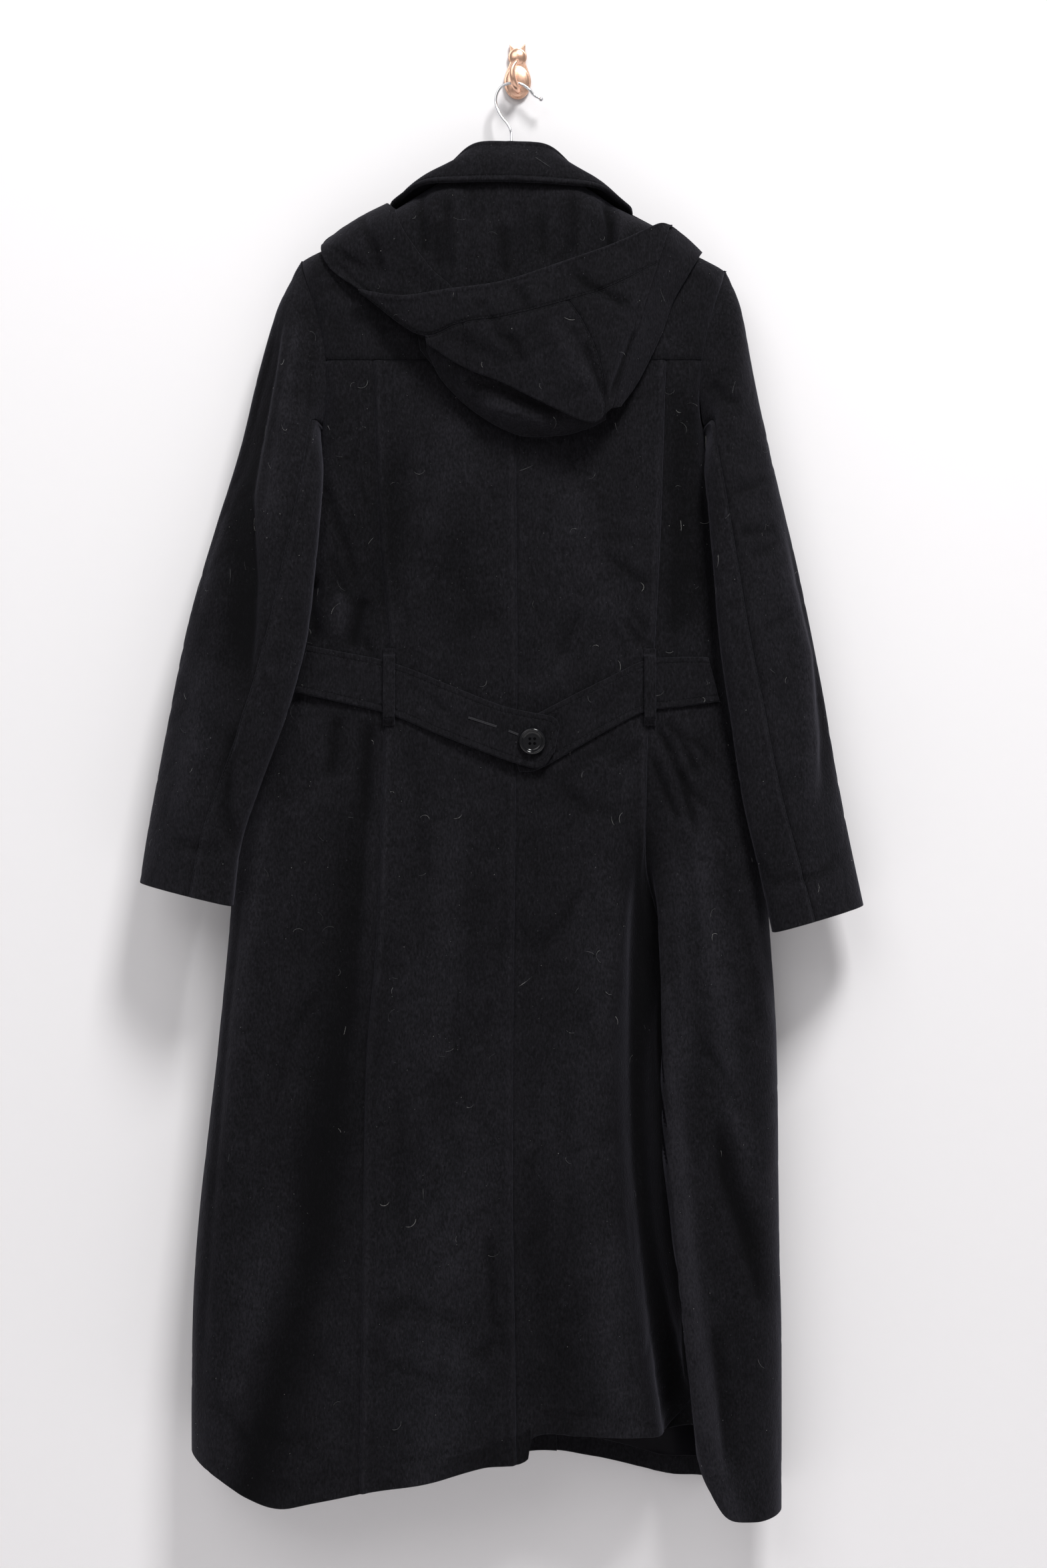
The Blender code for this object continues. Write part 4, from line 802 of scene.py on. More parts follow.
def panel_surface(piece):
    """The panel's outer face, between its two seams and its two heights."""
    def surface(s, t):
        z = mix(piece.top(0 * s), piece.low(0 * s), t)
        for _ in range(5):
            along = mix(piece.left(z) + HALF_SEAM, piece.right(z) - HALF_SEAM, s)
            x = body_point(piece.face, along, z)[..., 0]
            z = mix(piece.top(x) - HALF_SEAM, piece.low(x) + HALF_SEAM, t)
        along = mix(piece.left(z) + HALF_SEAM, piece.right(z) - HALF_SEAM, s)
        return body_point(piece.face, along, z, piece.step(x) if piece.step else 0.0)
    return surface


def lining_surface(piece, inside):
    """The stretch of lining that shows behind a panel, so far inside its outer face."""
    panel = panel_surface(piece)
    first = LINING_LAP if piece.name == "front_right" else 0.0

    def surface(s, t):
        s = mix(first, 1.0, s)
        t = mix(LINING_TOP, LINING_LOW[piece.face], t)
        across = panel(s + PROBE, t) - panel(s - PROBE, t)
        down = panel(s, t + PROBE) - panel(s, t - PROBE)
        return panel(s, t) - unit(np.cross(down, across)) * piece.face * inside
    return surface


def armhole_ring(side, turn):
    """Point on the armhole, where the sleeve starts."""
    tip_z = TIP_LEFT[1] if side < 0 else TIP_RIGHT[1]
    inward, under = SLEEVE_TUCK
    z = (tip_z + UNDERARM_Z) / 2 + ((tip_z - UNDERARM_Z) / 2 + inward) * np.cos(turn)
    face = np.where(np.sin(turn) >= 0, BACK, FRONT)
    return body_point(face, side * (side_reach(z, side) - inward * np.abs(np.sin(turn))), z, -under)


def sleeve_section(cut, turn):
    """Point on one of a sleeve's rounded cross-sections."""
    outer = np.array([cut.x_out, cut.y_out, cut.z_out], float)
    inner = np.array([cut.x_in, cut.y_in, cut.z_in], float)
    cosine = np.cos(turn)
    sine = np.sin(turn)
    wide = np.copysign(np.abs(cosine) ** SLEEVE_ROUNDNESS, cosine)
    deep = np.copysign(np.abs(sine) ** SLEEVE_ROUNDNESS, sine)
    return (outer + inner) / 2 + (outer - inner) / 2 * wide[..., None] + xyz(0, -cut.half_depth * deep, 0)


def sleeve_surface(side, first_turn, last_turn):
    """Stretch of a sleeve between two seams, given in degrees as functions of the share."""
    def surface(s, t):
        cuts = SLEEVE_LEFT if side < 0 else SLEEVE_RIGHT
        gap = SLEEVE_SEAM_GAP * (0.5 - s)
        turn = np.radians(mix(first_turn(t), last_turn(t), s) + gap)
        places = np.array([armhole_ring(side, turn)] + [sleeve_section(cut, turn) for cut in cuts])
        station = t * (len(places) - 1)
        return np.stack([curve(range(len(places)), places[..., k], station) for k in range(3)], -1)
    return surface


def back_seam_turn(t):
    return mix(BACK_SEAM_TURN[0], BACK_SEAM_TURN[1], t) + SEAM_TURN_UNDER * np.exp(-(t / SEAM_TURN_RUN) ** 2)


def front_seam_turn(t):
    return FRONT_SEAM_TURN + 0 * t


def collar_ends(station):
    """Fold point, edge point and the level direction that leads out of the collar."""
    side = np.where(station >= 0, 1, -1)

    def column(wanted):
        return by_station(COLLAR, wanted, np.abs(station))
    fold_x = NECK_X + side * column("fold_across")
    edge_x = NECK_X + side * column("edge_across")
    fold = xyz(fold_x, column("fold_y"), column("fold_z") - COLLAR_TILT * (fold_x - NECK_X))
    edge = xyz(edge_x, column("edge_y"), column("edge_z") - COLLAR_TILT * (edge_x - NECK_X))
    out = edge - fold
    out[..., 2] = 0
    return fold, edge, unit(out)


def collar_fall(s, t):
    """Outer face of the turned-down collar, from its fold to its edge."""
    t = np.maximum(t, FALL_START)
    reach = len(COLLAR) - 1
    station = mix(-reach, reach, s)
    fold, edge, out = collar_ends(station)
    angle = np.minimum(t / COLLAR_BEND, 1.0) * np.pi / 2
    start = fold + out * (FOLD_RADIUS * np.sin(angle))[..., None]
    start[..., 2] -= FOLD_RADIUS * (1 - np.cos(angle))
    run = np.maximum(t - COLLAR_BEND, 0.0) / (1 - COLLAR_BEND)
    bulge = by_station(COLLAR, "bulge", np.abs(station)) * np.sin(np.pi * run)
    return start + (edge - start) * run[..., None] + (out + np.array([0, 0, COLLAR_LIFT])) * bulge[..., None]


def collar_stand(s, t):
    """Outer face of the back's stand, from just below the fold down to the neckline."""
    station = mix(-STAND_REACH, STAND_REACH, s)
    fold, _, out = collar_ends(station)
    x = NECK_X + STAND_HALF * np.sin(station / STAND_REACH * np.pi / 2)
    z = top_edge_z(BACK, x) + NECK_SEAM
    low = body_point(BACK, x - level_middle(z), z) - out * STAND_INSET
    high = fold - out * REST_GAP - np.array([0, 0, COLLAR_CLOTH + REST_GAP + STAND_DROP])
    return high + (low - high) * t[..., None]


def between(table, name, station, share):
    """A column's value between its upper and its lower end, at a station of the table."""
    return mix(by_station(table, name + "_top", station), by_station(table, name + "_low", station), share)


def drape_point(table, station, run, extra=0.0):
    """Point of a hood piece: station along its table, run from its upper to its lower end."""
    x, z, off = (between(table, name, station, run) for name in ("x", "z", "off"))
    off = off + by_station(table, "bulge", station) * np.sin(np.pi * np.clip(run, 0, 1)) + extra
    return on_back(x, z, off)


def hood_neck(s, t):
    station = s * (len(HOOD_NECK) - 1)
    t = mix(-NECK_TUCK, 1.0, t)
    depth = GATHER_DEPTH * ease(t / GATHER_START) * ease((GATHER_END[0] - t) / GATHER_END[1])
    gathers = sum(share * np.sin(station * rate + start) for share, rate, start in GATHERS)
    return drape_point(HOOD_NECK, station, t, depth * gathers)


def hood_pouch(s, t):
    return drape_point(HOOD_POUCH, s * (len(HOOD_POUCH) - 1), t)


def hood_side_left(s, t):
    return drape_point(HOOD_SIDE_LEFT, t * (len(HOOD_SIDE_LEFT) - 1), s)


def hood_side_right(s, t):
    row = HOOD_CROWN[-1]
    station = t * (len(HOOD_SIDE_RIGHT) - 1)
    bulge = row.bulge * np.sin(np.pi * t)
    x = mix(mix(row.x_top, row.x_low, t) - CROWN_TUCK, by_station(HOOD_SIDE_RIGHT, "x", station), s)
    z = mix(mix(row.z_top, row.z_low, t), by_station(HOOD_SIDE_RIGHT, "z", station), s)
    z = z - BAND_CORNER * (1 - s) ** 2 * ease(1 - t / BAND_CORNER_RUN)
    inner = mix(row.off_top, row.off_low, t) + bulge - CROWN_CLOTH - REST_GAP
    return on_back(x, z, mix(inner, by_station(HOOD_SIDE_RIGHT, "off", station), s))


def band_share(station):
    return curve(range(len(BAND_SHARE)), BAND_SHARE, station)


def hood_band(s, t):
    station = s * (len(HOOD_CROWN) - 1)
    points = drape_point(HOOD_CROWN, station, t * (band_share(station) - HOOD_SEAM * 0.4))
    corner = ease((s - BAND_CORNER_START) / (1 - BAND_CORNER_START)) ** 2
    points[..., 2] -= BAND_CORNER * corner * ease(1 - t / BAND_CORNER_RUN)
    return points


def crown_surface(from_seam, to_seam):
    def surface(s, t):
        first = mix(from_seam[0], from_seam[1], t) + HOOD_SEAM
        final = mix(to_seam[0], to_seam[1], t) - HOOD_SEAM
        station = mix(first, final, s)
        return drape_point(HOOD_CROWN, station, mix(band_share(station) + HOOD_SEAM, 1.0, t))
    return surface


def belt_surface(table, base):
    """Outer face of a belt half, which follows the back a little way off it."""
    def surface(s, t):
        station = s * (len(table) - 1)
        x, z = (between(table, name, station, t) for name in ("x", "z"))
        return on_back(x, z, base + by_station(table, "lift", station))
    return surface


def loop_surface(centre, clear):
    """Loop: sewn flat on the back above and below, and lifted over the belt between."""
    def surface(s, t):
        z = mix(LOOP_TOP_Z, LOOP_LOW_Z, t)
        up = (ease((LOOP_TOP_Z - LOOP_RISE[0] - z) / LOOP_RISE[1])
              * ease((z - LOOP_LOW_Z - LOOP_FALL[0]) / LOOP_FALL[1]))
        off = LOOP_CLOTH + REST_GAP * (1 - up) + clear * up
        return on_back(centre + mix(-0.5, 0.5, s) * LOOP_WIDTH, z, off)
    return surface


def travel(points, axis):
    """Distance walked along a grid of points, from its first row or column."""
    points = np.moveaxis(points, axis, 0)
    steps = np.linalg.norm(np.diff(points, axis=0), axis=-1)
    walked = np.concatenate([np.zeros((1,) + steps.shape[1:]), np.cumsum(steps, 0)])
    return np.moveaxis(walked, 0, axis)


def spread(lengths, spacing, fine):
    """Where rows of points lie on strips of these lengths: close near both ends, even between."""
    fine = np.array(fine, float)
    count = max(int(round((lengths.max() - 2 * fine[-1]) / spacing)), 2)
    near = fine[:, None] * np.minimum(1.0, 0.4 * lengths / fine[-1])
    between = near[-1] + (lengths - 2 * near[-1]) * (np.arange(1, count) / count)[:, None]
    return np.concatenate([near, between, lengths - near[::-1]])


def shares_at(wanted, walked, axis):
    """The shares at which the wanted distances are walked, strip by strip."""
    return np.stack([np.interp(wanted[:, k], walked[:, k], DENSE) for k in range(wanted.shape[1])], axis)


def lay_grid(surface, spacing, fine_s, fine_t):
    """Points of a surface, spaced evenly over the cloth itself."""
    middle = travel(surface(np.full_like(DENSE, 0.5), DENSE), 0)
    rows = np.interp(spread(middle[-1:], spacing, fine_t)[:, 0], middle, DENSE)
    walked = travel(surface(DENSE[:, None] + 0 * rows, rows + 0 * DENSE[:, None]), 0)
    wanted = spread(walked[-1], spacing, fine_s)
    columns = shares_at(wanted, walked, 0)
    paths = np.stack([np.interp(DENSE, rows, columns[:, k]) for k in range(columns.shape[1])], 1)
    walked = travel(surface(paths, DENSE[:, None] + 0 * paths), 0)
    wanted = spread(walked[-1], spacing, fine_t)
    t = shares_at(wanted, walked, 1)
    s = np.stack([np.interp(t[:, k], DENSE, paths[:, k]) for k in range(paths.shape[1])], 1)
    return surface(s, t)


def outward(points, turn):
    """Direction away from the coat at each point of a grid."""
    return unit(np.cross(np.gradient(points, axis=0), np.gradient(points, axis=1))) * turn


def edge_distances(points):
    """Distance of each point of a grid from its left, right, top and low edge."""
    across = travel(points, 1)
    down = travel(points, 0)
    return {"left": across, "right": across[:, -1:] - across, "top": down, "low": down[-1:] - down}


def creases_of(part):
    """The creases on both faces of a part, each with its face."""
    return [(face, crease) for (home, face), rows in CREASES.items() if home == part for crease in rows]


def crease_depth(part, points, normal):
    """How far the creases of one part of the coat draw its cloth in."""
    total = np.zeros(points.shape[:2])
    at = points[..., [0, 2]]
    for face, crease in creases_of(part):
        path = np.array(crease.path, float)
        nearest = np.full(total.shape, 1e9)
        signed = np.zeros(total.shape)
        place = np.zeros(total.shape)
        lengths = np.linalg.norm(np.diff(path, axis=0), axis=-1)
        start = 0.0
        for a, b, length in zip(path, path[1:], lengths):
            way = (b - a) / length
            along = np.clip((at - a) @ way, 0, length)
            gap = at - (a + along[..., None] * way)
            far = np.linalg.norm(gap, axis=-1)
            nearer = far < nearest
            nearest = np.where(nearer, far, nearest)
            signed = np.where(nearer, gap @ np.array([-way[1], way[0]]), signed)
            place = np.where(nearer, start + along, place)
            start += length
        fade_run = CREASE_FADE * start
        fade = ease(place / fade_run + CREASE_END) * ease((start - place) / fade_run + CREASE_END)
        wide = np.where(signed > 0, crease.right, crease.left)
        facing = ease(-normal[..., 1] * face * CREASE_TURN)
        total += crease.depth * np.exp(-(nearest / wide) ** 2) * fade * facing
    return total


def waves(points, height):
    """Slow unevenness of hanging cloth, longer down than across."""
    out = np.empty(points.shape[:2])
    for index in np.ndindex(out.shape):
        x, y, z = points[index]
        wave = noise.noise((x / WAVE_SIZE, y / WAVE_SIZE, z / (WAVE_SIZE * WAVE_STRETCH)))
        ripple = noise.noise((x / RIPPLE_SIZE + 7, y / RIPPLE_SIZE, z / (RIPPLE_SIZE * WAVE_STRETCH) - 3))
        out[index] = wave + RIPPLE_SHARE * ripple
    return out * height


def wrinkles(points, height):
    """Thin soft lines that run slantwise, here and there, as in cloth that was folded away."""
    out = np.empty(points.shape[:2])
    for index in np.ndindex(out.shape):
        x, y, z = points[index]
        slant = noise.noise(((x + 0.6 * z) / 62, y / 62 + 11, (z - 0.6 * x) / 34))
        cross = noise.noise(((x - 0.9 * z) / 40 + 5, y / 40, (z + 0.9 * x) / 74))
        share = noise.noise((x / 90 - 9, y / 90, z / 90 + 4))
        out[index] = (-math.exp(-(slant / SLANT_THIN) ** 2) * max(share + WRINKLE_BIAS, 0)
                      - math.exp(-(cross / CROSS_THIN) ** 2) * max(WRINKLE_BIAS - share, 0))
    return out * height


def under_belt(points):
    """1 where the belt and its loops lie close on the back, so that the cloth stays flat there."""
    x = points[..., 0]
    z = points[..., 2]
    halves = ((BELT_LEFT, x < BELT_LEFT_END), (BELT_RIGHT, x > BELT_RIGHT_END))
    top = np.maximum(*(np.where(there, read(table, "x_top", "z_top", x), NOWHERE) for table, there in halves))
    low = np.minimum(*(np.where(there, read(table, "x_low", "z_low", x), 0) for table, there in halves))
    far, run = BELT_CALM
    belt = ease((top + far - z) / run) * ease((z - low + far) / run)
    far, run = LOOP_CALM
    loops = np.maximum(*(ease((far - np.abs(x - middle)) / run) for middle in (LOOP_LEFT_X, LOOP_RIGHT_X)))
    far, run = LOOP_END_CALM
    return np.maximum(belt, loops * ease((LOOP_TOP_Z + far - z) / run) * ease((z - LOOP_LOW_Z + far) / run))


def relief(name, part, points, normal, edges, wave, seams):
    """Height of the cloth above its plain form, in millimetres."""
    height = -crease_depth(part, points, normal)
    if wave:
        calm = np.minimum.reduce([ease(edges[edge] / CALM_REACH) for edge in ("top", "left", "right")])
        height += (waves(points, wave) * (0.35 + 0.65 * calm)
                   + wrinkles(points, wave * WRINKLE_HEIGHT) * (0.3 + 0.7 * calm))
    for edge in seams:
        height -= SEAM_DIP * np.exp(-(edges[edge] / SEAM_REACH) ** 2)
    for ridge in RIDGES:
        if ridge.piece == name:
            height += ridge.height * np.exp(-((edges[ridge.edge] - ridge.at) / ridge.wide) ** 2)
    for line in STITCH_LINES:
        if line.piece == name:
            height -= STITCH_SINK * np.exp(-((edges[line.edge] - line.inset) / STITCH_SINK_WIDE) ** 2)
    if part == "body":
        flat = under_belt(points) * (normal[..., 1] < 0)
        height = np.where(flat > 0, np.minimum(height, mix(np.maximum(height, 0), 0.1, flat)), height)
    if name in ("side_back_left", "back_left", "back_right"):
        x = points[..., 0]
        edge = read(VENT_EDGE, "x", "z", x) - VENT_RIGHT_DROP * ease((x - VENT_RIGHT_X) / VENT_RIGHT_RUN)
        height -= VENT_STEP * ease((edge - points[..., 2]) / 2 + 0.5) * ease((x - VENT_LEFT_X) / VENT_LEFT_RUN)
    return height


def painted_shading_of(name, points, height):
    """Painted shade and highlight for the wool: from the darkest value in the depth of a fold to 1 on its
    ridge.
    """
    folds = fold_depth(BACK, points[..., 0], points[..., 2]) if name in BACK_PANELS else 0.0
    return np.clip((height - folds * PAINTED_SHADE_FOLDS) / PAINTED_SHADE_DEPTH, PAINTED_SHADE_DARKEST, 1)


class Wire:
    """An output of a shader node. Arithmetic on it adds Math nodes to its material."""

    def __init__(self, finish, socket):
        self.finish = finish
        self.socket = socket

    def math(self, operation, *values):
        return self.finish.add("ShaderNodeMath", {"operation": operation}, dict(enumerate(values)))

    def __add__(self, other):
        return self.math("ADD", self, other)

    __radd__ = __add__

    def __sub__(self, other):
        return self.math("SUBTRACT", self, other)

    def __rsub__(self, other):
        return self.math("SUBTRACT", other, self)

    def __mul__(self, other):
        return self.math("MULTIPLY", self, other)

    __rmul__ = __mul__

    def __gt__(self, other):
        return self.math("GREATER_THAN", self, other)


# Sockets of a Mix node that mixes colours: three of its inputs, and its output.
MIX_SHARE, MIX_FIRST, MIX_SECOND = 0, 6, 7
MIX_COLOUR = 2


class Finish:
    """A material in the making: its shader's constants first, then what varies over the surface."""

    def __init__(self, name, colour, roughness, **constants):
        self.material = bpy.data.materials.new(name)
        self.material.use_nodes = True
        self.tree = self.material.node_tree
        self.shader = self.tree.nodes["Principled BSDF"]
        self.put("Base Color", (*colour, 1))
        self.put("Roughness", roughness)
        for socket, value in constants.items():
            self.put(socket.replace("_", " "), value)
        self.place = self.add("ShaderNodeTexCoord", {}, {}, "Object")

    def plug(self, socket, value):
        if isinstance(value, Wire):
            self.tree.links.new(value.socket, socket)
        else:
            socket.default_value = value

    def add(self, kind, settings, values, out=0):
        """Any node: its type, its settings, then the values or links of its sockets."""
        node = self.tree.nodes.new(kind)
        for setting, value in settings.items():
            if setting == "stops":
                ramp = node.color_ramp.elements
                while len(ramp) < len(value):
                    ramp.new(1.0)
                for stop, (position, colour) in zip(ramp, value):
                    stop.position = position
                    stop.color = (*colour, 1)
            else:
                setattr(node, setting, value)
        for socket, value in values.items():
            self.plug(node.inputs[socket], value)
        return Wire(self, node.outputs[out])

    def put(self, socket, value):
        """Sets or links one of the shader's own sockets."""
        self.plug(self.shader.inputs[socket], value)

    def stretched(self, x, y, z):
        """The place on the object, drawn out along its axes."""
        return self.add("ShaderNodeVectorMath", {"operation": "MULTIPLY"}, {0: self.place, 1: (x, y, z)})

    def grain(self, place, scale, detail):
        return self.add("ShaderNodeTexNoise", {}, {"Vector": place, "Scale": scale, "Detail": detail})

    def twill(self, scale, distortion=0.0):
        """Fine slanting ribs."""
        return self.add("ShaderNodeTexWave", {"bands_direction": "DIAGONAL"},
                        {"Vector": self.place, "Scale": scale, "Distortion": distortion})

    def blend(self, share, first, second):
        """Colour between two colours."""
        first, second = ((*c, 1) if isinstance(c, tuple) and len(c) == 3 else c for c in (first, second))
        sockets = {MIX_SHARE: share, MIX_FIRST: first, MIX_SECOND: second}
        return self.add("ShaderNodeMix", {"data_type": "RGBA"}, sockets, MIX_COLOUR)

    def ramp(self, share, *stops):
        return self.add("ShaderNodeValToRGB", {"stops": stops}, {0: share})

    def bump(self, height, distance, strength=1.0):
        self.put("Normal", self.add("ShaderNodeBump", {}, {"Height": height, "Distance": distance,
                                                           "Strength": strength}))
        return self.material


def scaled(colour, share):
    return tuple(part * share for part in colour)


def wool_finish(look):
    """Brushed wool: short nap that lies downward, a mottle, and a few pale fibres.

    Shade is painted into its colour: darker in the depth of a fold, and paler on its ridge as a painted
    highlight.
    """
    colour = tuple(look.wool_colour)
    wool = Finish("brushed wool", colour, 0.92, Sheen_Weight=look.wool_sheen, Sheen_Roughness=0.5,
                  Sheen_Tint=(0.78, 0.76, 0.95, 1), Specular_IOR_Level=0.08)
    nap = wool.grain(wool.stretched(1, 1, 0.5), 560, 3)
    strands = wool.grain(wool.stretched(1, 1, 0.2), 1500, 1)
    mottle = wool.grain(wool.place, 42, 3)
    cloud = wool.grain(wool.stretched(1, 1, 0.5), 9, 2)
    # painted shade and highlight from the cloth's relief: darker in folds, paler on ridges
    tone = wool.add("ShaderNodeAttribute", {"attribute_name": "tone"}, {}, "Fac")
    shade = wool.ramp(nap * 0.5 + strands * 0.24 + mottle * 0.15 + cloud * 0.11 + tone * 0.115,
                      (0.32, scaled(colour, 0.22)), (0.44, scaled(colour, 0.66)), (0.5, colour),
                      (0.57, scaled(colour, 1.5)), (0.7, scaled(colour, 2.9)))
    fleck = wool.add("ShaderNodeTexVoronoi", {"feature": "F1"}, {"Vector": wool.place, "Scale": 170})
    pale = wool.grain(wool.place, 75, 0) > 0.62
    wool.put("Base Color", wool.blend((1 - (fleck > 0.07)) * pale * 0.25, shade, (0.12, 0.12, 0.13)))
    return wool.bump(nap * 0.7 + strands * 0.3, 0.0008, 0.9)


def satin_finish(look):
    """Lining: black satin with a fine twill."""
    satin = Finish("lining satin", look.lining_colour, 0.42, Specular_IOR_Level=0.06)
    satin.put("Roughness", 0.42 + satin.grain(satin.place, 25, 2) * 0.16)
    return satin.bump(satin.twill(700, 0.4), 0.00008, 0.4)


def button_finish(look):
    """Polished black horn plastic, faintly scuffed."""
    button = Finish("polished button", look.button_colour, 0.14, Specular_IOR_Level=0.36)
    scuff = button.grain(button.place, 420, 3)
    button.put("Roughness", 0.06 + scuff * 0.1)
    return button.bump(scuff, 0.00004, 0.25)


def thread_finish(look):
    """Sewing thread, a little brighter than the cloth and twisted."""
    colour = look.thread_colour
    thread = Finish("sewing thread", colour, 0.7, Specular_IOR_Level=0.15)
    twist = thread.twill(900)
    thread.put("Base Color", thread.blend(twist, scaled(colour, 0.6), scaled(colour, 1.3)))
    return thread.bump(twist, 0.0001, 0.5)


def buttonhole_finish(look):
    """The buttonholes' thread is paler than the seams'."""
    thread = Finish("buttonhole thread", look.buttonhole_colour, 0.7)
    return thread.bump(thread.grain(thread.place, 1800, 2), 0.0001, 0.5)


def lint_finish(look):
    """Pale hair and dust."""
    lint = Finish("pale lint", (0.3, 0.3, 0.3), 0.8)
    lint.put("Base Color", lint.ramp(lint.grain(lint.place, 60, 1), (0.36, (0.08, 0.08, 0.085)),
                                     (0.5, (0.26, 0.26, 0.265)), (0.66, (0.75, 0.74, 0.72))))
    return lint.material


def chrome_finish(look):
    """Chromed wire with faint rub marks."""
    chrome = Finish("chromed wire", look.wire_colour, 0.12, Metallic=1.0)
    rub = chrome.grain(chrome.stretched(1, 1, 0.3), 700, 2)
    chrome.put("Roughness", 0.07 + rub * 0.12)
    return chrome.bump(rub, 0.00003, 0.2)


def copper_finish(look):
    """Satin copper plating, slightly uneven, a little darker in spots."""
    colour = look.copper_colour
    copper = Finish("satin copper", colour, 0.3, Metallic=1.0)
    spots = copper.grain(copper.place, 260, 3)
    brush = copper.grain(copper.stretched(3, 1, 0.6), 500, 2)
    copper.put("Base Color", copper.blend(spots, scaled(colour, 0.82), scaled(colour, 1.14)))
    copper.put("Roughness", 0.22 + brush * 0.16)
    return copper.bump(brush * 0.4 + spots * 0.6, 0.00005, 0.3)


def bar_finish(look):
    """Plain black hanger bar, flocked."""
    bar = Finish("hanger bar", (0.02, 0.02, 0.022), 0.7, Sheen_Weight=0.2)
    return bar.bump(bar.grain(bar.place, 900, 2), 0.0002, 0.4)


FINISHES = {
    "wool": wool_finish, "satin": satin_finish, "button": button_finish, "thread": thread_finish,
    "buttonhole": buttonhole_finish, "lint": lint_finish, "chrome": chrome_finish, "copper": copper_finish,
    "bar": bar_finish,
}
MADE = {}                # finishes made so far


def finish(name):
    if name not in MADE:
        MADE[name] = FINISHES[name](bpy.context.scene.coat_look)
    return MADE[name]


def add_piece(name, points, faces, materials, slot, nodes=(), marks=None, tone=None):
    """A smooth mesh piece that rides on the coat and stands for nodes of the frame."""
    mesh = bpy.data.meshes.new(name)
    mesh.from_pydata((np.asarray(points) * MM).tolist(), [], faces)
    for material in materials:
        mesh.materials.append(finish(material))
    if marks is not None:
        mesh.polygons.foreach_set("material_index", np.asarray(marks, dtype=np.int32))
    # painted shade and highlight of the folds, kept on each point for the wool's colour
    if tone is not None:
        values = mesh.attributes.new("tone", "FLOAT", "POINT").data
        values.foreach_set("value", np.asarray(tone, dtype=np.float32))
    mesh.shade_smooth()
    mesh.update()
    piece = bpy.data.objects.new(name, mesh)
    bpy.context.scene.collection.objects.link(piece)
    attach(piece, "root")
    if nodes:
        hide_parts(*nodes)
    return piece


def rounded(distance, radius):
    """1 inside a piece, and down to 0 in a round at its edge."""
    inside = np.clip(distance / radius, 0, 1)
    return np.sqrt(1 - (1 - inside) ** 2)


def sew(node, surface, thick, spacing, part="", turn=1, wave=0.8, seams=(),
        inner=None, radius=1.3, slot="wool", outer="wool"):
    """Cloth on a surface: two faces that meet in an edge all round, with its relief.

    A free edge is rounded on both faces. A sewn edge is rounded outside alone, so that no light
    comes through the seam.
    """
    fine = {"s": FINE_EDGE, "t": FINE_EDGE}
    for line in STITCH_LINES:
        if line.piece == node:
            fine["s" if line.edge in ("left", "right") else "t"] = STITCHED_EDGE
    plain = lay_grid(surface, spacing, fine["s"], fine["t"])
    normal = outward(plain, turn)
    edges = edge_distances(plain)
    height = relief(node, part, plain, normal, edges, wave, seams)
    outside, inside = (
        np.min([rounded(edges[edge], seam_radius if edge in seams else radius) for edge in edges], axis=0)
        for seam_radius in (SEAM_RADIUS, SEAM_INSIDE_RADIUS))
    near_face = plain + normal * (height - thick / 2 * (1 - outside))[..., None]
    far_face = plain + normal * (height - thick / 2 * (1 + inside))[..., None]
    rows, columns = plain.shape[:2]
    count = rows * columns
    upper = np.arange(count).reshape(rows, columns)
    lower = upper.copy()
    lower[1:-1, 1:-1] = count + np.arange((rows - 2) * (columns - 2)).reshape(rows - 2, columns - 2)
    points = np.concatenate([near_face.reshape(-1, 3), far_face[1:-1, 1:-1].reshape(-1, 3)])
    # painted shade and highlight from the relief; the far face gets none
    tone = np.concatenate([painted_shading_of(node, plain, height).ravel(), np.zeros((rows - 2) * (columns - 2))])

    def quads(index):
        return np.stack([index[:-1, :-1], index[1:, :-1], index[1:, 1:], index[:-1, 1:]], -1).reshape(-1, 4)
    near = quads(upper)
    far = quads(lower)
    if turn > 0:
        far = far[:, ::-1]
    else:
        near = near[:, ::-1]
    marks = np.concatenate([np.zeros(len(near)), np.full(len(far), 1 if inner else 0)])
    piece = add_piece("cloth_" + node, points, np.concatenate([near, far]).tolist(),
                      [outer] + ([inner] if inner else []), slot, (node,), marks, tone)
    GRIDS[node] = (near_face, outward(near_face, turn), edges)


class CoatSizes(bpy.types.PropertyGroup):
    """Thicknesses and spacings of the coat's cloth."""
    cloth: FloatProperty(name="Cloth", description="Thickness of the wool with its lining",
                         default=0.0024, unit="LENGTH")
    collar: FloatProperty(name="Collar", description="Thickness of the collar's two layers",
                          default=0.004, unit="LENGTH")
    belt: FloatProperty(name="Belt", description="Thickness of the belt's two layers",
                        default=0.003, unit="LENGTH")
    hood: FloatProperty(name="Hood", description="Thickness of the hood's cloth",
                        default=0.002, unit="LENGTH")
    spacing: FloatProperty(name="Spacing", description="Distance between the points of the back's cloth",
                           default=0.0042, unit="LENGTH")
    wave: FloatProperty(name="Unevenness", description="Height of the hanging cloth's slow waves",
                        default=0.0008, unit="LENGTH")
    button: FloatProperty(name="Button", description="Radius of a button, as the frame has it",
                          default=(BUTTON_BOX[1][0] - BUTTON_BOX[0][0]) / 2, unit="LENGTH")
    hairs: IntProperty(name="Hairs", description="Pale hairs that lie on the wool", default=190)
    specks: IntProperty(name="Specks", description="Specks of dust on the wool", default=900)


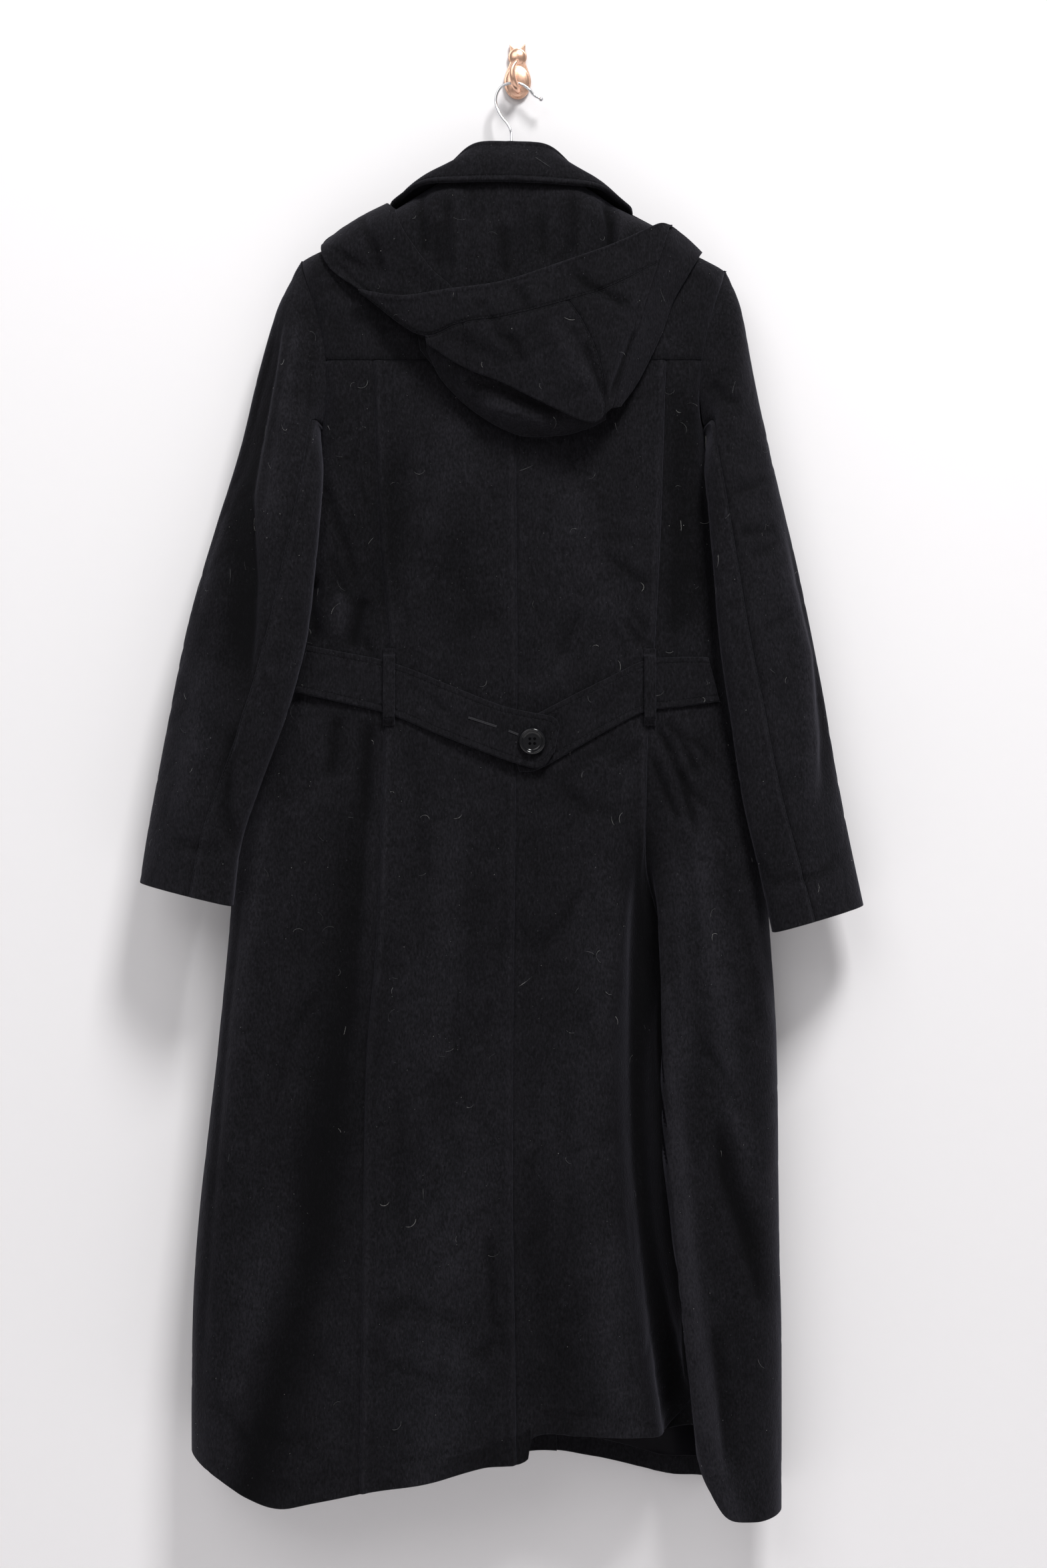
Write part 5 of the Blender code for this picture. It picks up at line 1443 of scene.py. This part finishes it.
class CoatLook(bpy.types.PropertyGroup):
    """Colours of the coat, its hanger and its wall hook."""
    wool_colour: FloatVectorProperty(name="Wool", description="Colour of the wool", subtype="COLOR",
                                     default=(0.0051, 0.0049, 0.0060))
    wool_sheen: FloatProperty(name="Wool sheen", description="Light caught by the nap", default=0.06)
    lining_colour: FloatVectorProperty(name="Lining", description="Colour of the satin lining",
                                       subtype="COLOR", default=(0.0034, 0.0030, 0.0044))
    button_colour: FloatVectorProperty(name="Button", description="Colour of the buttons", subtype="COLOR",
                                       default=(0.004, 0.004, 0.005))
    thread_colour: FloatVectorProperty(name="Thread", description="Colour of the sewing thread",
                                       subtype="COLOR", default=(0.0085, 0.0085, 0.0105))
    buttonhole_colour: FloatVectorProperty(name="Buttonholes", subtype="COLOR",
                                           description="Colour of the buttonholes' thread",
                                           default=(0.032, 0.031, 0.036))
    wire_colour: FloatVectorProperty(name="Wire", description="Colour of the chromed wire", subtype="COLOR",
                                     default=(0.72, 0.72, 0.74))
    copper_colour: FloatVectorProperty(name="Copper", description="Colour of the wall hook", subtype="COLOR",
                                       default=(0.93, 0.58, 0.42))


class StageLook(bpy.types.PropertyGroup):
    """Light and walls round the coat."""
    wall_colour: FloatVectorProperty(name="Wall", description="Colour of the backdrop", subtype="COLOR",
                                     default=(0.79, 0.775, 0.785))
    key: FloatProperty(name="Key light", description="Power of the large light at the upper right",
                       default=148.0, unit="POWER")
    fill: FloatProperty(name="Fill light", description="Power of the soft light from the left",
                        default=66.0, unit="POWER")
    world: FloatProperty(name="Surround", description="Strength of the light from all round", default=0.28)


class MakePiece:
    """What the coat's operators have in common."""
    bl_options = {"REGISTER", "UNDO"}

    def execute(self, context):
        self.make(context.scene.coat_sizes)
        return {"FINISHED"}


class COAT_OT_body(MakePiece, bpy.types.Operator):
    """Makes the yoke, the four back panels and the two fronts"""
    bl_idname = "coat.body"
    bl_label = "Body panels"

    def make(self, sizes):
        for piece in PANELS:
            free = FREE_EDGES.get(piece.name, ("low",))
            seams = [edge for edge in ("left", "right", "top", "low") if edge not in free]
            spacing = sizes.spacing / MM * (1 if piece.face == BACK else FRONT_SPACING)
            sew(piece.name, panel_surface(piece), sizes.cloth / MM, spacing, "body", piece.face,
                wave=sizes.wave / MM, seams=seams,
                inner="satin" if piece.face == BACK else None)


class COAT_OT_lining(MakePiece, bpy.types.Operator):
    """Makes the lining's lower stretch inside each panel"""
    bl_idname = "coat.lining"
    bl_label = "Lining"

    def make(self, sizes):
        inside = sizes.cloth / MM + LINING_GAP
        for piece in PANELS[1:]:
            sew("lining_" + piece.name, lining_surface(piece, inside), LINING_CLOTH, spacing=6.0, part="body",
                turn=piece.face, wave=LINING_WAVE[piece.face], radius=0.6,
                slot="lining", outer="satin")


class COAT_OT_sleeves(MakePiece, bpy.types.Operator):
    """Makes the two-piece sleeves"""
    bl_idname = "coat.sleeves"
    bl_label = "Sleeves"

    def make(self, sizes):
        for side, name in ((-1, "sleeve_left"), (1, "sleeve_right")):
            upper = sleeve_surface(side, lambda t: front_seam_turn(t) - 360, back_seam_turn)
            under = sleeve_surface(side, back_seam_turn, front_seam_turn)
            for part, surface in (("_upper", upper), ("_under", under)):
                sew(name + part, surface, sizes.cloth / MM, sizes.spacing / MM, name, -side,
                    wave=sizes.wave / MM * SLEEVE_WAVE, seams=("left", "right"),
                    inner="satin")


class COAT_OT_collar(MakePiece, bpy.types.Operator):
    """Makes the turned-down collar and its stand"""
    bl_idname = "coat.collar"
    bl_label = "Collar"

    def make(self, sizes):
        sew("collar_fall", collar_fall, sizes.collar / MM, spacing=3.4, part="collar", wave=0.5,
            radius=2.0)
        sew("collar_stand", collar_stand, sizes.cloth / MM, spacing=4.0, part="collar", wave=0.2)


class COAT_OT_hood(MakePiece, bpy.types.Operator):
    """Makes the hood's layers: neck, pouch, two sides, band and three crown panels"""
    bl_idname = "coat.hood"
    bl_label = "Hood"

    def make(self, sizes):
        last = len(HOOD_CROWN) - 1
        pieces = (
            ("hood_neck", hood_neck, "hood", ()),
            ("hood_pouch", hood_pouch, "pouch", ()),
            ("hood_side_left", hood_side_left, "side", ("right",)),
            ("hood_side_right", hood_side_right, "", ("left",)),
            ("hood_band", hood_band, "crown", ("low",)),
            ("hood_crown_left", crown_surface(CROWN_START, CROWN_SEAM_LEFT), "crown", ("top", "right")),
            ("hood_crown_centre", crown_surface(CROWN_SEAM_LEFT, CROWN_SEAM_RIGHT), "crown",
             ("top", "left", "right")),
            ("hood_crown_right", crown_surface(CROWN_SEAM_RIGHT, (last, last)), "crown", ("top", "left")),
        )
        for name, surface, part, seams in pieces:
            sew(name, surface, sizes.hood / MM, spacing=3.2, part=part, wave=0.7, seams=seams,
                radius=1.1)


class COAT_OT_belt(MakePiece, bpy.types.Operator):
    """Makes the two halves of the belt and the loops that carry them"""
    bl_idname = "coat.belt"
    bl_label = "Belt"

    def make(self, sizes):
        belt = sizes.belt / MM
        base = REST_GAP + belt
        for name, table in (("belt_left", BELT_LEFT), ("belt_right", BELT_RIGHT)):
            sew(name, belt_surface(table, base), belt, spacing=2.6, part="belt", wave=0.35,
                radius=1.6)
        clear = base + REST_GAP + LOOP_CLOTH
        for name, centre in (("belt_loop_left", LOOP_LEFT_X), ("belt_loop_right", LOOP_RIGHT_X)):
            sew(name, loop_surface(centre, clear), LOOP_CLOTH, spacing=1.6, part="belt", wave=0,
                radius=1.0)


def ring_faces(count, sides):
    """Faces between rings of points, with a cap on the first and on the last."""
    faces = [tuple(range(sides))[::-1]]
    for k in range(count - 1):
        for i in range(sides):
            follow = (i + 1) % sides
            faces.append((k * sides + i, k * sides + follow, (k + 1) * sides + follow, (k + 1) * sides + i))
    faces.append(tuple((count - 1) * sides + i for i in range(sides)))
    return faces


def tube_rows(route, steps, sides):
    """Points and faces of a rod along a smooth curve through rows of x, y, z and radius."""
    route = np.array(route, float)
    at = np.linspace(0, len(route) - 1, (len(route) - 1) * steps + 1)
    rows = np.stack([curve(range(len(route)), route[:, k], at) for k in range(4)], -1)
    ahead = unit(np.gradient(rows[:, :3], axis=0))
    side_way = Vector(ahead[0]).orthogonal().normalized()
    turns = 2 * np.pi * np.arange(sides) / sides
    points = []
    for row, way in zip(rows, ahead):
        way = Vector(way)
        side_way = (side_way - way * side_way.dot(way)).normalized()
        ring = np.outer(np.cos(turns), side_way) + np.outer(np.sin(turns), way.cross(side_way))
        points.append(row[:3] + ring * row[3])
    return np.concatenate(points), ring_faces(len(points), sides)


def joined(parts):
    """Points and faces of several meshes as one."""
    points = []
    faces = []
    start = 0
    for part_points, part_faces in parts:
        points.append(np.asarray(part_points))
        faces += [tuple(start + i for i in face) for face in part_faces]
        start += len(part_points)
    return np.concatenate(points), faces


def turned(profile, sides, place, direction):
    """Points and faces of a form turned about the Y axis: the profile gives radius and height."""
    turns = 2 * np.pi * np.arange(sides) / sides
    points = [xyz(radius * np.cos(turns), direction * height, radius * np.sin(turns))
              for radius, height in profile]
    first, *between_rings, last = ring_faces(len(profile), sides)
    faces = [first, last] + between_rings
    if direction < 0:
        faces = [face[::-1] for face in faces]
    return np.concatenate(points) + place, faces


def face_outward(mesh):
    """Turns all faces of a closed mesh outward, as a cut needs them."""
    work = bmesh.new()
    work.from_mesh(mesh)
    bmesh.ops.recalc_face_normals(work, faces=work.faces)
    work.to_mesh(mesh)
    work.free()


def finished_mesh(piece):
    """Applies a piece's modifiers."""
    shape = piece.evaluated_get(bpy.context.evaluated_depsgraph_get())
    old = piece.data
    piece.data = bpy.data.meshes.new_from_object(shape)
    piece.modifiers.clear()
    bpy.data.meshes.remove(old)


def button_profile(radius):
    """Flat back, rounded rim with a ridge, and a shallow dish inside it."""
    middle, low, high = BUTTON_MIDDLE
    return [(middle, low)] + [(radius - inside, height) for inside, height in BUTTON_RIM] + [(middle, high)]


def hole_middles(place):
    """The middles of a button's four holes."""
    turns = [math.pi / 4 + k * math.pi / 2 for k in range(4)]
    return [place + np.array([math.cos(turn), 0, math.sin(turn)]) * BUTTON_HOLE_REACH for turn in turns]


def cut_hole(button, middle):
    """Cuts a round hole through a button, along Y."""
    profile = [(BUTTON_HOLE_RADIUS, -CUT_REACH), (BUTTON_HOLE_RADIUS, CUT_REACH)]
    points, faces = turned(profile, HOLE_SIDES, middle, 1)
    mesh = bpy.data.meshes.new("hole")
    mesh.from_pydata((points * MM).tolist(), [], faces)
    face_outward(mesh)
    cutter = bpy.data.objects.new("hole", mesh)
    bpy.context.scene.collection.objects.link(cutter)
    cut = button.modifiers.new("hole", "BOOLEAN")
    cut.object = cutter
    cut.operation = "DIFFERENCE"
    cut.solver = "EXACT"
    finished_mesh(button)
    bpy.data.objects.remove(cutter, do_unlink=True)


def thread_plug(place, direction, radius, start, stop):
    """A short round bundle of thread along Y."""
    route = [(*(place + np.array([0, direction * at, 0])), radius) for at in (start, stop)]
    return tube_rows(route, steps=1, sides=12)


class COAT_OT_buttons(MakePiece, bpy.types.Operator):
    """Makes the belt's button and the row of buttons down the front"""
    bl_idname = "coat.buttons"
    bl_label = "Buttons"

    def make(self, sizes):
        radius = sizes.button / MM
        x, z = BELT_BUTTON
        lift = REST_GAP + sizes.belt / MM + float(by_station(BELT_LEFT, "lift", 7)) + BUTTON_SHANK
        places = [("belt_button", on_back(np.array(x), np.array(z), lift), -1)]
        for k, height in enumerate(FRONT_BUTTON_Z):
            height = np.array(float(height))
            place = body_point(FRONT, FRONT_EDGE_X - level_middle(height), height, LAP_STEP)
            places.append(("front_button_%d" % (k + 1), place + np.array([0, REST_GAP, 0]), 1))
        for name, place, direction in places:
            points, faces = turned(button_profile(radius), BUTTON_SIDES, place, direction)
            button = add_piece("polished_" + name, points, faces, ["button"], "button", (name,))
            face_outward(button.data)
            holes = hole_middles(place)
            for hole in holes:
                cut_hole(button, hole)
            button.data.shade_smooth()
            button.data.set_sharp_from_angle(angle=math.radians(50))
            threads = [thread_plug(hole, direction, *PLUG) for hole in holes]
            threads.append(thread_plug(place, direction, *SHANK))
            add_piece("thread_" + name, *joined(threads), ["thread"], "button")


def edge_line(node, edge, inset):
    """Points and directions along a line that runs so far inside one edge of a piece."""
    points, normal, edges = GRIDS[node]
    if edge in ("left", "right"):
        lanes = [(points[k], normal[k], edges[edge][k]) for k in range(points.shape[0])]
    else:
        lanes = [(points[:, k], normal[:, k], edges[edge][:, k]) for k in range(points.shape[1])]
    line = []
    for lane, ways, distance in lanes:
        if edge in ("right", "low"):
            lane, ways, distance = lane[::-1], ways[::-1], distance[::-1]
        if distance[-1] < 2 * inset + 1:
            continue
        line.append([np.interp(inset, distance, lane[:, k]) for k in range(3)]
                    + [np.interp(inset, distance, ways[:, k]) for k in range(3)])
    return np.array(line)


def stitched(line, clear):
    """Small stitches along a line of points and directions."""
    walked = travel(line[:, :3], 0)
    parts = []
    for start in np.arange(clear, walked[-1] - clear - STITCH_LENGTH, STITCH_PITCH):
        route = []
        for share, lift, radius in STITCH_SHAPE:
            at = start + share * STITCH_LENGTH
            place = np.array([np.interp(at, walked, line[:, k]) for k in range(6)])
            route.append((*(place[:3] + place[3:] * lift), STITCH_RADIUS * radius))
        parts.append(tube_rows(route, steps=1, sides=5))
    return parts


def buttonhole(start, stop, belt_face):
    """Close stitches on both sides of a slit in the belt."""
    length = np.linalg.norm(stop - start)
    across = np.array([start[1] - stop[1], stop[0] - start[0]]) / length
    end_radius, middle_radius = HOLE_THREAD
    parts = []
    for k in range(int(length / HOLE_STITCH)):
        x, z = mix(start, stop, k * HOLE_STITCH / length)
        lift = float(by_station(BELT_LEFT, "lift", np.interp(x, HOLE_STATIONS, (4, 5, 6))))
        for side in (-1, 1):
            inner, outer = (on_back(*(np.array([x, z]) + across * side * share * HOLE_HALF),
                                    belt_face + lift - HOLE_SINK) for share in (HOLE_SLIT, 1.0))
            parts.append(tube_rows([(*inner, end_radius),
                                    (*((inner + outer) / 2 - (0, HOLE_ARCH, 0)), middle_radius),
                                    (*outer, end_radius)], steps=1, sides=5))
    return parts


class COAT_OT_stitches(MakePiece, bpy.types.Operator):
    """Makes the visible stitches of the belt, hood, collar and sleeves, and the belt's buttonholes"""
    bl_idname = "coat.stitches"
    bl_label = "Stitches"

    def make(self, sizes):
        parts = []
        for row in STITCH_LINES:
            clear = EDGE_INSET if row.inset == EDGE_INSET else STITCH_CLEAR
            line = edge_line(row.piece, row.edge, row.inset)
            if row.piece.startswith("sleeve"):
                line = line[line[:, 2] < UNDERARM_Z - SEAM_STITCH_START]
            parts += stitched(line, clear)
        add_piece("top_stitches", *joined(parts), ["thread"], "wool")
        belt_face = REST_GAP + sizes.belt / MM
        parts = [part for ends in np.array(HOLES) for part in buttonhole(*ends, belt_face)]
        add_piece("buttonholes", *joined(parts), ["buttonhole"], "wool")


class COAT_OT_lint(MakePiece, bpy.types.Operator):
    """Lays pale hairs and specks on the wool that faces the room"""
    bl_idname = "coat.lint"
    bl_label = "Lint"

    def make(self, sizes):
        chance = random.Random(LINT_SEED)
        homes = [name for name in GRIDS if not name.startswith(("lining", "front", "belt_loop"))]
        edges = [GRIDS[name][2] for name in homes]
        weights = [float(edge["left"][:, -1].mean() * edge["top"][-1].mean()) for edge in edges]
        parts = []

        def spot():
            points, normal, _ = GRIDS[chance.choices(homes, weights)[0]]
            i, j = (chance.randrange(LINT_MARGIN, count - LINT_MARGIN) for count in points.shape[:2])
            place = points[i, j]
            return place, normal[i, j], points[i, j + 1] - place, points[i + 1, j] - place
        for _ in range(sizes.hairs):
            place, out, across, down = spot()
            across, down = unit(across), unit(down)
            turn = chance.uniform(0, math.tau)
            bend = chance.uniform(-0.35, 0.35)
            step = chance.uniform(0.7, 2.2)
            route = []
            here = place + out * HAIR_LIFT
            for k in range(HAIR_POINTS):
                route.append((*here, HAIR_END_RADIUS if k in (0, HAIR_POINTS - 1) else HAIR_RADIUS))
                here = here + (across * math.cos(turn) + down * math.sin(turn)) * step
                turn += bend
            parts.append(tube_rows(route, steps=1, sides=4))
        for _ in range(sizes.specks):
            place, out, across, down = spot()
            size = chance.uniform(0.06, 0.17)
            way = unit(across * chance.uniform(-1, 1) + down * chance.uniform(-1, 1)) * size * 2
            parts.append(tube_rows([(*(place + out * 0.1 - way), size * 0.4), (*(place + out * 0.22), size),
                                    (*(place + out * 0.1 + way), size * 0.4)], steps=1, sides=5))
        add_piece("pale_lint", *joined(parts), ["lint"], "wool")


class COAT_OT_hanger(MakePiece, bpy.types.Operator):
    """Finishes the hanger's bar and makes its wire hook"""
    bl_idname = "coat.hanger"
    bl_label = "Hanger"

    def make(self, sizes):
        bar = bpy.data.objects["hanger_body"]
        bar.material_slots[0].material = finish("bar")
        wire = tube_rows(WIRE_ROUTE, steps=8, sides=20)
        add_piece("wire_hook", *wire, ["chrome"], "wire", ("hanger_hook",))


def plate_outline():
    """Round head with an ear each side, over an egg-shaped body."""
    outline = []
    for k in range(41):
        turn = math.radians(mix(NECK_ANGLE - 270, 90 - NECK_ANGLE, k / 40))
        outline.append((BODY_HALF_WIDTH * math.cos(turn), BODY_CENTRE_Z + BODY_HALF_HEIGHT * math.sin(turn)))
    right = []
    for degrees in range(-35, 36, 7):
        turn = math.radians(degrees)
        right.append((HEAD_RADIUS * math.cos(turn), HEAD_CENTRE_Z + HEAD_RADIUS * math.sin(turn)))
    right += [EAR_TIP, EAR_ROOT]
    return outline + right + [(-x, z) for x, z in reversed(right)]


class COAT_OT_wall_hook(MakePiece, bpy.types.Operator):
    """Makes the cast wall hook: a cat's plate with a domed head and body, and its tail as the prong"""
    bl_idname = "coat.wall_hook"
    bl_label = "Wall hook"

    def make(self, sizes):
        outline = plate_outline()
        count = len(outline)
        plate = [(x, y, z) for y in (0, -PLATE_THICK + PLATE_EDGE) for x, z in outline]
        faces = [tuple(range(count)), tuple(range(2 * count - 1, count - 1, -1))]
        faces += [((k + 1) % count, k, count + k, count + (k + 1) % count) for k in range(count)]
        parts = [(plate, faces)]
        for middle_z, wide, high, (side, deep, end) in (
                (HEAD_CENTRE_Z, HEAD_RADIUS, HEAD_RADIUS, HEAD_DOME),
                (BODY_CENTRE_Z, BODY_HALF_WIDTH, BODY_HALF_HEIGHT, BODY_DOME)):
            centre = (0, DOME_Y, middle_z)
            half = (wide - side, deep, high - end)
            dome = bmesh.new()
            bmesh.ops.create_uvsphere(dome, u_segments=48, v_segments=32, radius=1)
            points = [np.array(vertex.co) * half + centre for vertex in dome.verts]
            points = [np.minimum(point, (99, -0.01, 99)) for point in points]
            dome.verts.ensure_lookup_table()
            parts.append((points, [tuple(vertex.index for vertex in face.verts) for face in dome.faces]))
            dome.free()
        parts.append(tube_rows(PRONG_ROUTE, steps=6, sides=24))
        hook = add_piece("cat_hook", *joined(parts), ["copper"], "copper", ("wall_hook",))
        face_outward(hook.data)
        remesh = hook.modifiers.new("cast", "REMESH")
        remesh.mode = "VOXEL"
        remesh.voxel_size = CAST_GRAIN * MM
        soft = hook.modifiers.new("soften", "SMOOTH")
        soft.factor = 0.5
        soft.iterations = 6
        finished_mesh(hook)
        for vertex in hook.data.vertices:
            vertex.co.y = min(vertex.co.y, 0.0)
        hook.data.shade_smooth()


WALL_Y = 0.0015          # metres, as all of the stage
FLOOR_Z = -1.75
WALL_TOP_Z = 2.4
STAGE_HALF = 4
FLOOR_Y = -5
CAMERA_PLACE = (0.0058, -2.5, -0.6903)
CAMERA_LENS = 59.07
CAMERA_SENSOR = 36
LIGHT_AIM = (0, 0, -0.6)
KEY_PLACE, KEY_SIZE = (0.9, -2.1, 2.5), 0.9
FILL_PLACE, FILL_SIZE = (-1.8, -4.0, 2.4), 3.0


def plane(name, near, far, material):
    """A backdrop sheet between two heights or depths, each a place y, z."""
    corners = [(side * STAGE_HALF, *place)
               for place, sides in ((near, (-1, 1)), (far, (1, -1))) for side in sides]
    mesh = bpy.data.meshes.new(name)
    mesh.from_pydata(corners, [], [tuple(range(len(corners)))])
    mesh.materials.append(material)
    piece = bpy.data.objects.new(name, mesh)
    bpy.context.scene.collection.objects.link(piece)
    piece.visible_shadow = False


def area_light(name, place, size, power):
    data = bpy.data.lights.new(name, "AREA")
    data.shape = "RECTANGLE"
    data.size = data.size_y = size
    data.energy = power
    light = bpy.data.objects.new(name, data)
    light.location = place
    light.rotation_euler = (Vector(LIGHT_AIM) - Vector(place)).to_track_quat("-Z", "Y").to_euler()
    bpy.context.scene.collection.objects.link(light)


class COAT_OT_stage(bpy.types.Operator):
    """Sets up the wall behind, the floor, the lights and the camera"""
    bl_idname = "coat.stage"
    bl_label = "Stage"
    bl_options = {"REGISTER", "UNDO"}

    def execute(self, context):
        look = context.scene.coat_stage
        plaster = Finish("white plaster", look.wall_colour, 0.8)
        plaster.bump(plaster.grain(plaster.place, 60, 4), 0.0004, 0.15)
        behind = plaster.add("ShaderNodeNewGeometry", {}, {}, "Backfacing")
        clear = plaster.add("ShaderNodeBsdfTransparent", {}, {})
        lit = Wire(plaster, plaster.shader.outputs[0])
        shown = plaster.add("ShaderNodeMixShader", {}, {0: behind, 1: lit, 2: clear})
        plaster.plug(plaster.tree.nodes["Material Output"].inputs["Surface"], shown)
        plane("backdrop_wall", (WALL_Y, FLOOR_Z), (WALL_Y, WALL_TOP_Z), plaster.material)
        plane("pale_floor", (FLOOR_Y, FLOOR_Z), (WALL_Y, FLOOR_Z), plaster.material)
        context.scene.view_settings.view_transform = "Standard"
        world = bpy.data.worlds.new("studio surround")
        world.use_nodes = True
        surround = world.node_tree.nodes["Background"].inputs
        surround["Color"].default_value = (1, 1, 1, 1)
        surround["Strength"].default_value = look.world
        context.scene.world = world
        area_light("key_light", KEY_PLACE, KEY_SIZE, look.key)
        area_light("fill_light", FILL_PLACE, FILL_SIZE, look.fill)
        data = bpy.data.cameras.new("camera")
        data.lens = CAMERA_LENS
        data.sensor_width = CAMERA_SENSOR
        camera = bpy.data.objects.new("camera", data)
        camera.location = CAMERA_PLACE
        camera.rotation_euler = (math.pi / 2, 0, 0)
        context.scene.collection.objects.link(camera)
        context.scene.camera = camera
        return {"FINISHED"}


OPERATORS = (
    COAT_OT_stage, COAT_OT_body, COAT_OT_lining, COAT_OT_sleeves, COAT_OT_collar, COAT_OT_hood, COAT_OT_belt,
    COAT_OT_buttons, COAT_OT_stitches, COAT_OT_lint, COAT_OT_hanger, COAT_OT_wall_hook,
)


class COAT_PT_panel(bpy.types.Panel):
    """Lists the coat's sizes, colours and pieces"""
    bl_label = "Hooded coat"
    bl_idname = "COAT_PT_panel"
    bl_space_type = "VIEW_3D"
    bl_region_type = "UI"
    bl_category = "Coat"

    def draw(self, context):
        for group in (context.scene.coat_sizes, context.scene.coat_look, context.scene.coat_stage):
            for name in group.__annotations__:
                self.layout.prop(group, name)
        for operator in OPERATORS:
            self.layout.operator(operator.bl_idname)


CLASSES = (CoatSizes, CoatLook, StageLook) + OPERATORS + (COAT_PT_panel,)


def register():
    for item in CLASSES:
        bpy.utils.register_class(item)
    bpy.types.Scene.coat_sizes = PointerProperty(type=CoatSizes)
    bpy.types.Scene.coat_look = PointerProperty(type=CoatLook)
    bpy.types.Scene.coat_stage = PointerProperty(type=StageLook)


def unregister():
    del bpy.types.Scene.coat_sizes
    del bpy.types.Scene.coat_look
    del bpy.types.Scene.coat_stage
    for item in reversed(CLASSES):
        bpy.utils.unregister_class(item)


def main():
    register()
    bpy.ops.coat.stage()
    bpy.ops.coat.body()
    bpy.ops.coat.lining()
    bpy.ops.coat.sleeves()
    bpy.ops.coat.collar()
    bpy.ops.coat.hood()
    bpy.ops.coat.belt()
    bpy.ops.coat.buttons()
    bpy.ops.coat.stitches()
    bpy.ops.coat.lint()
    bpy.ops.coat.hanger()
    bpy.ops.coat.wall_hook()


if __name__ == "__main__":
    main()
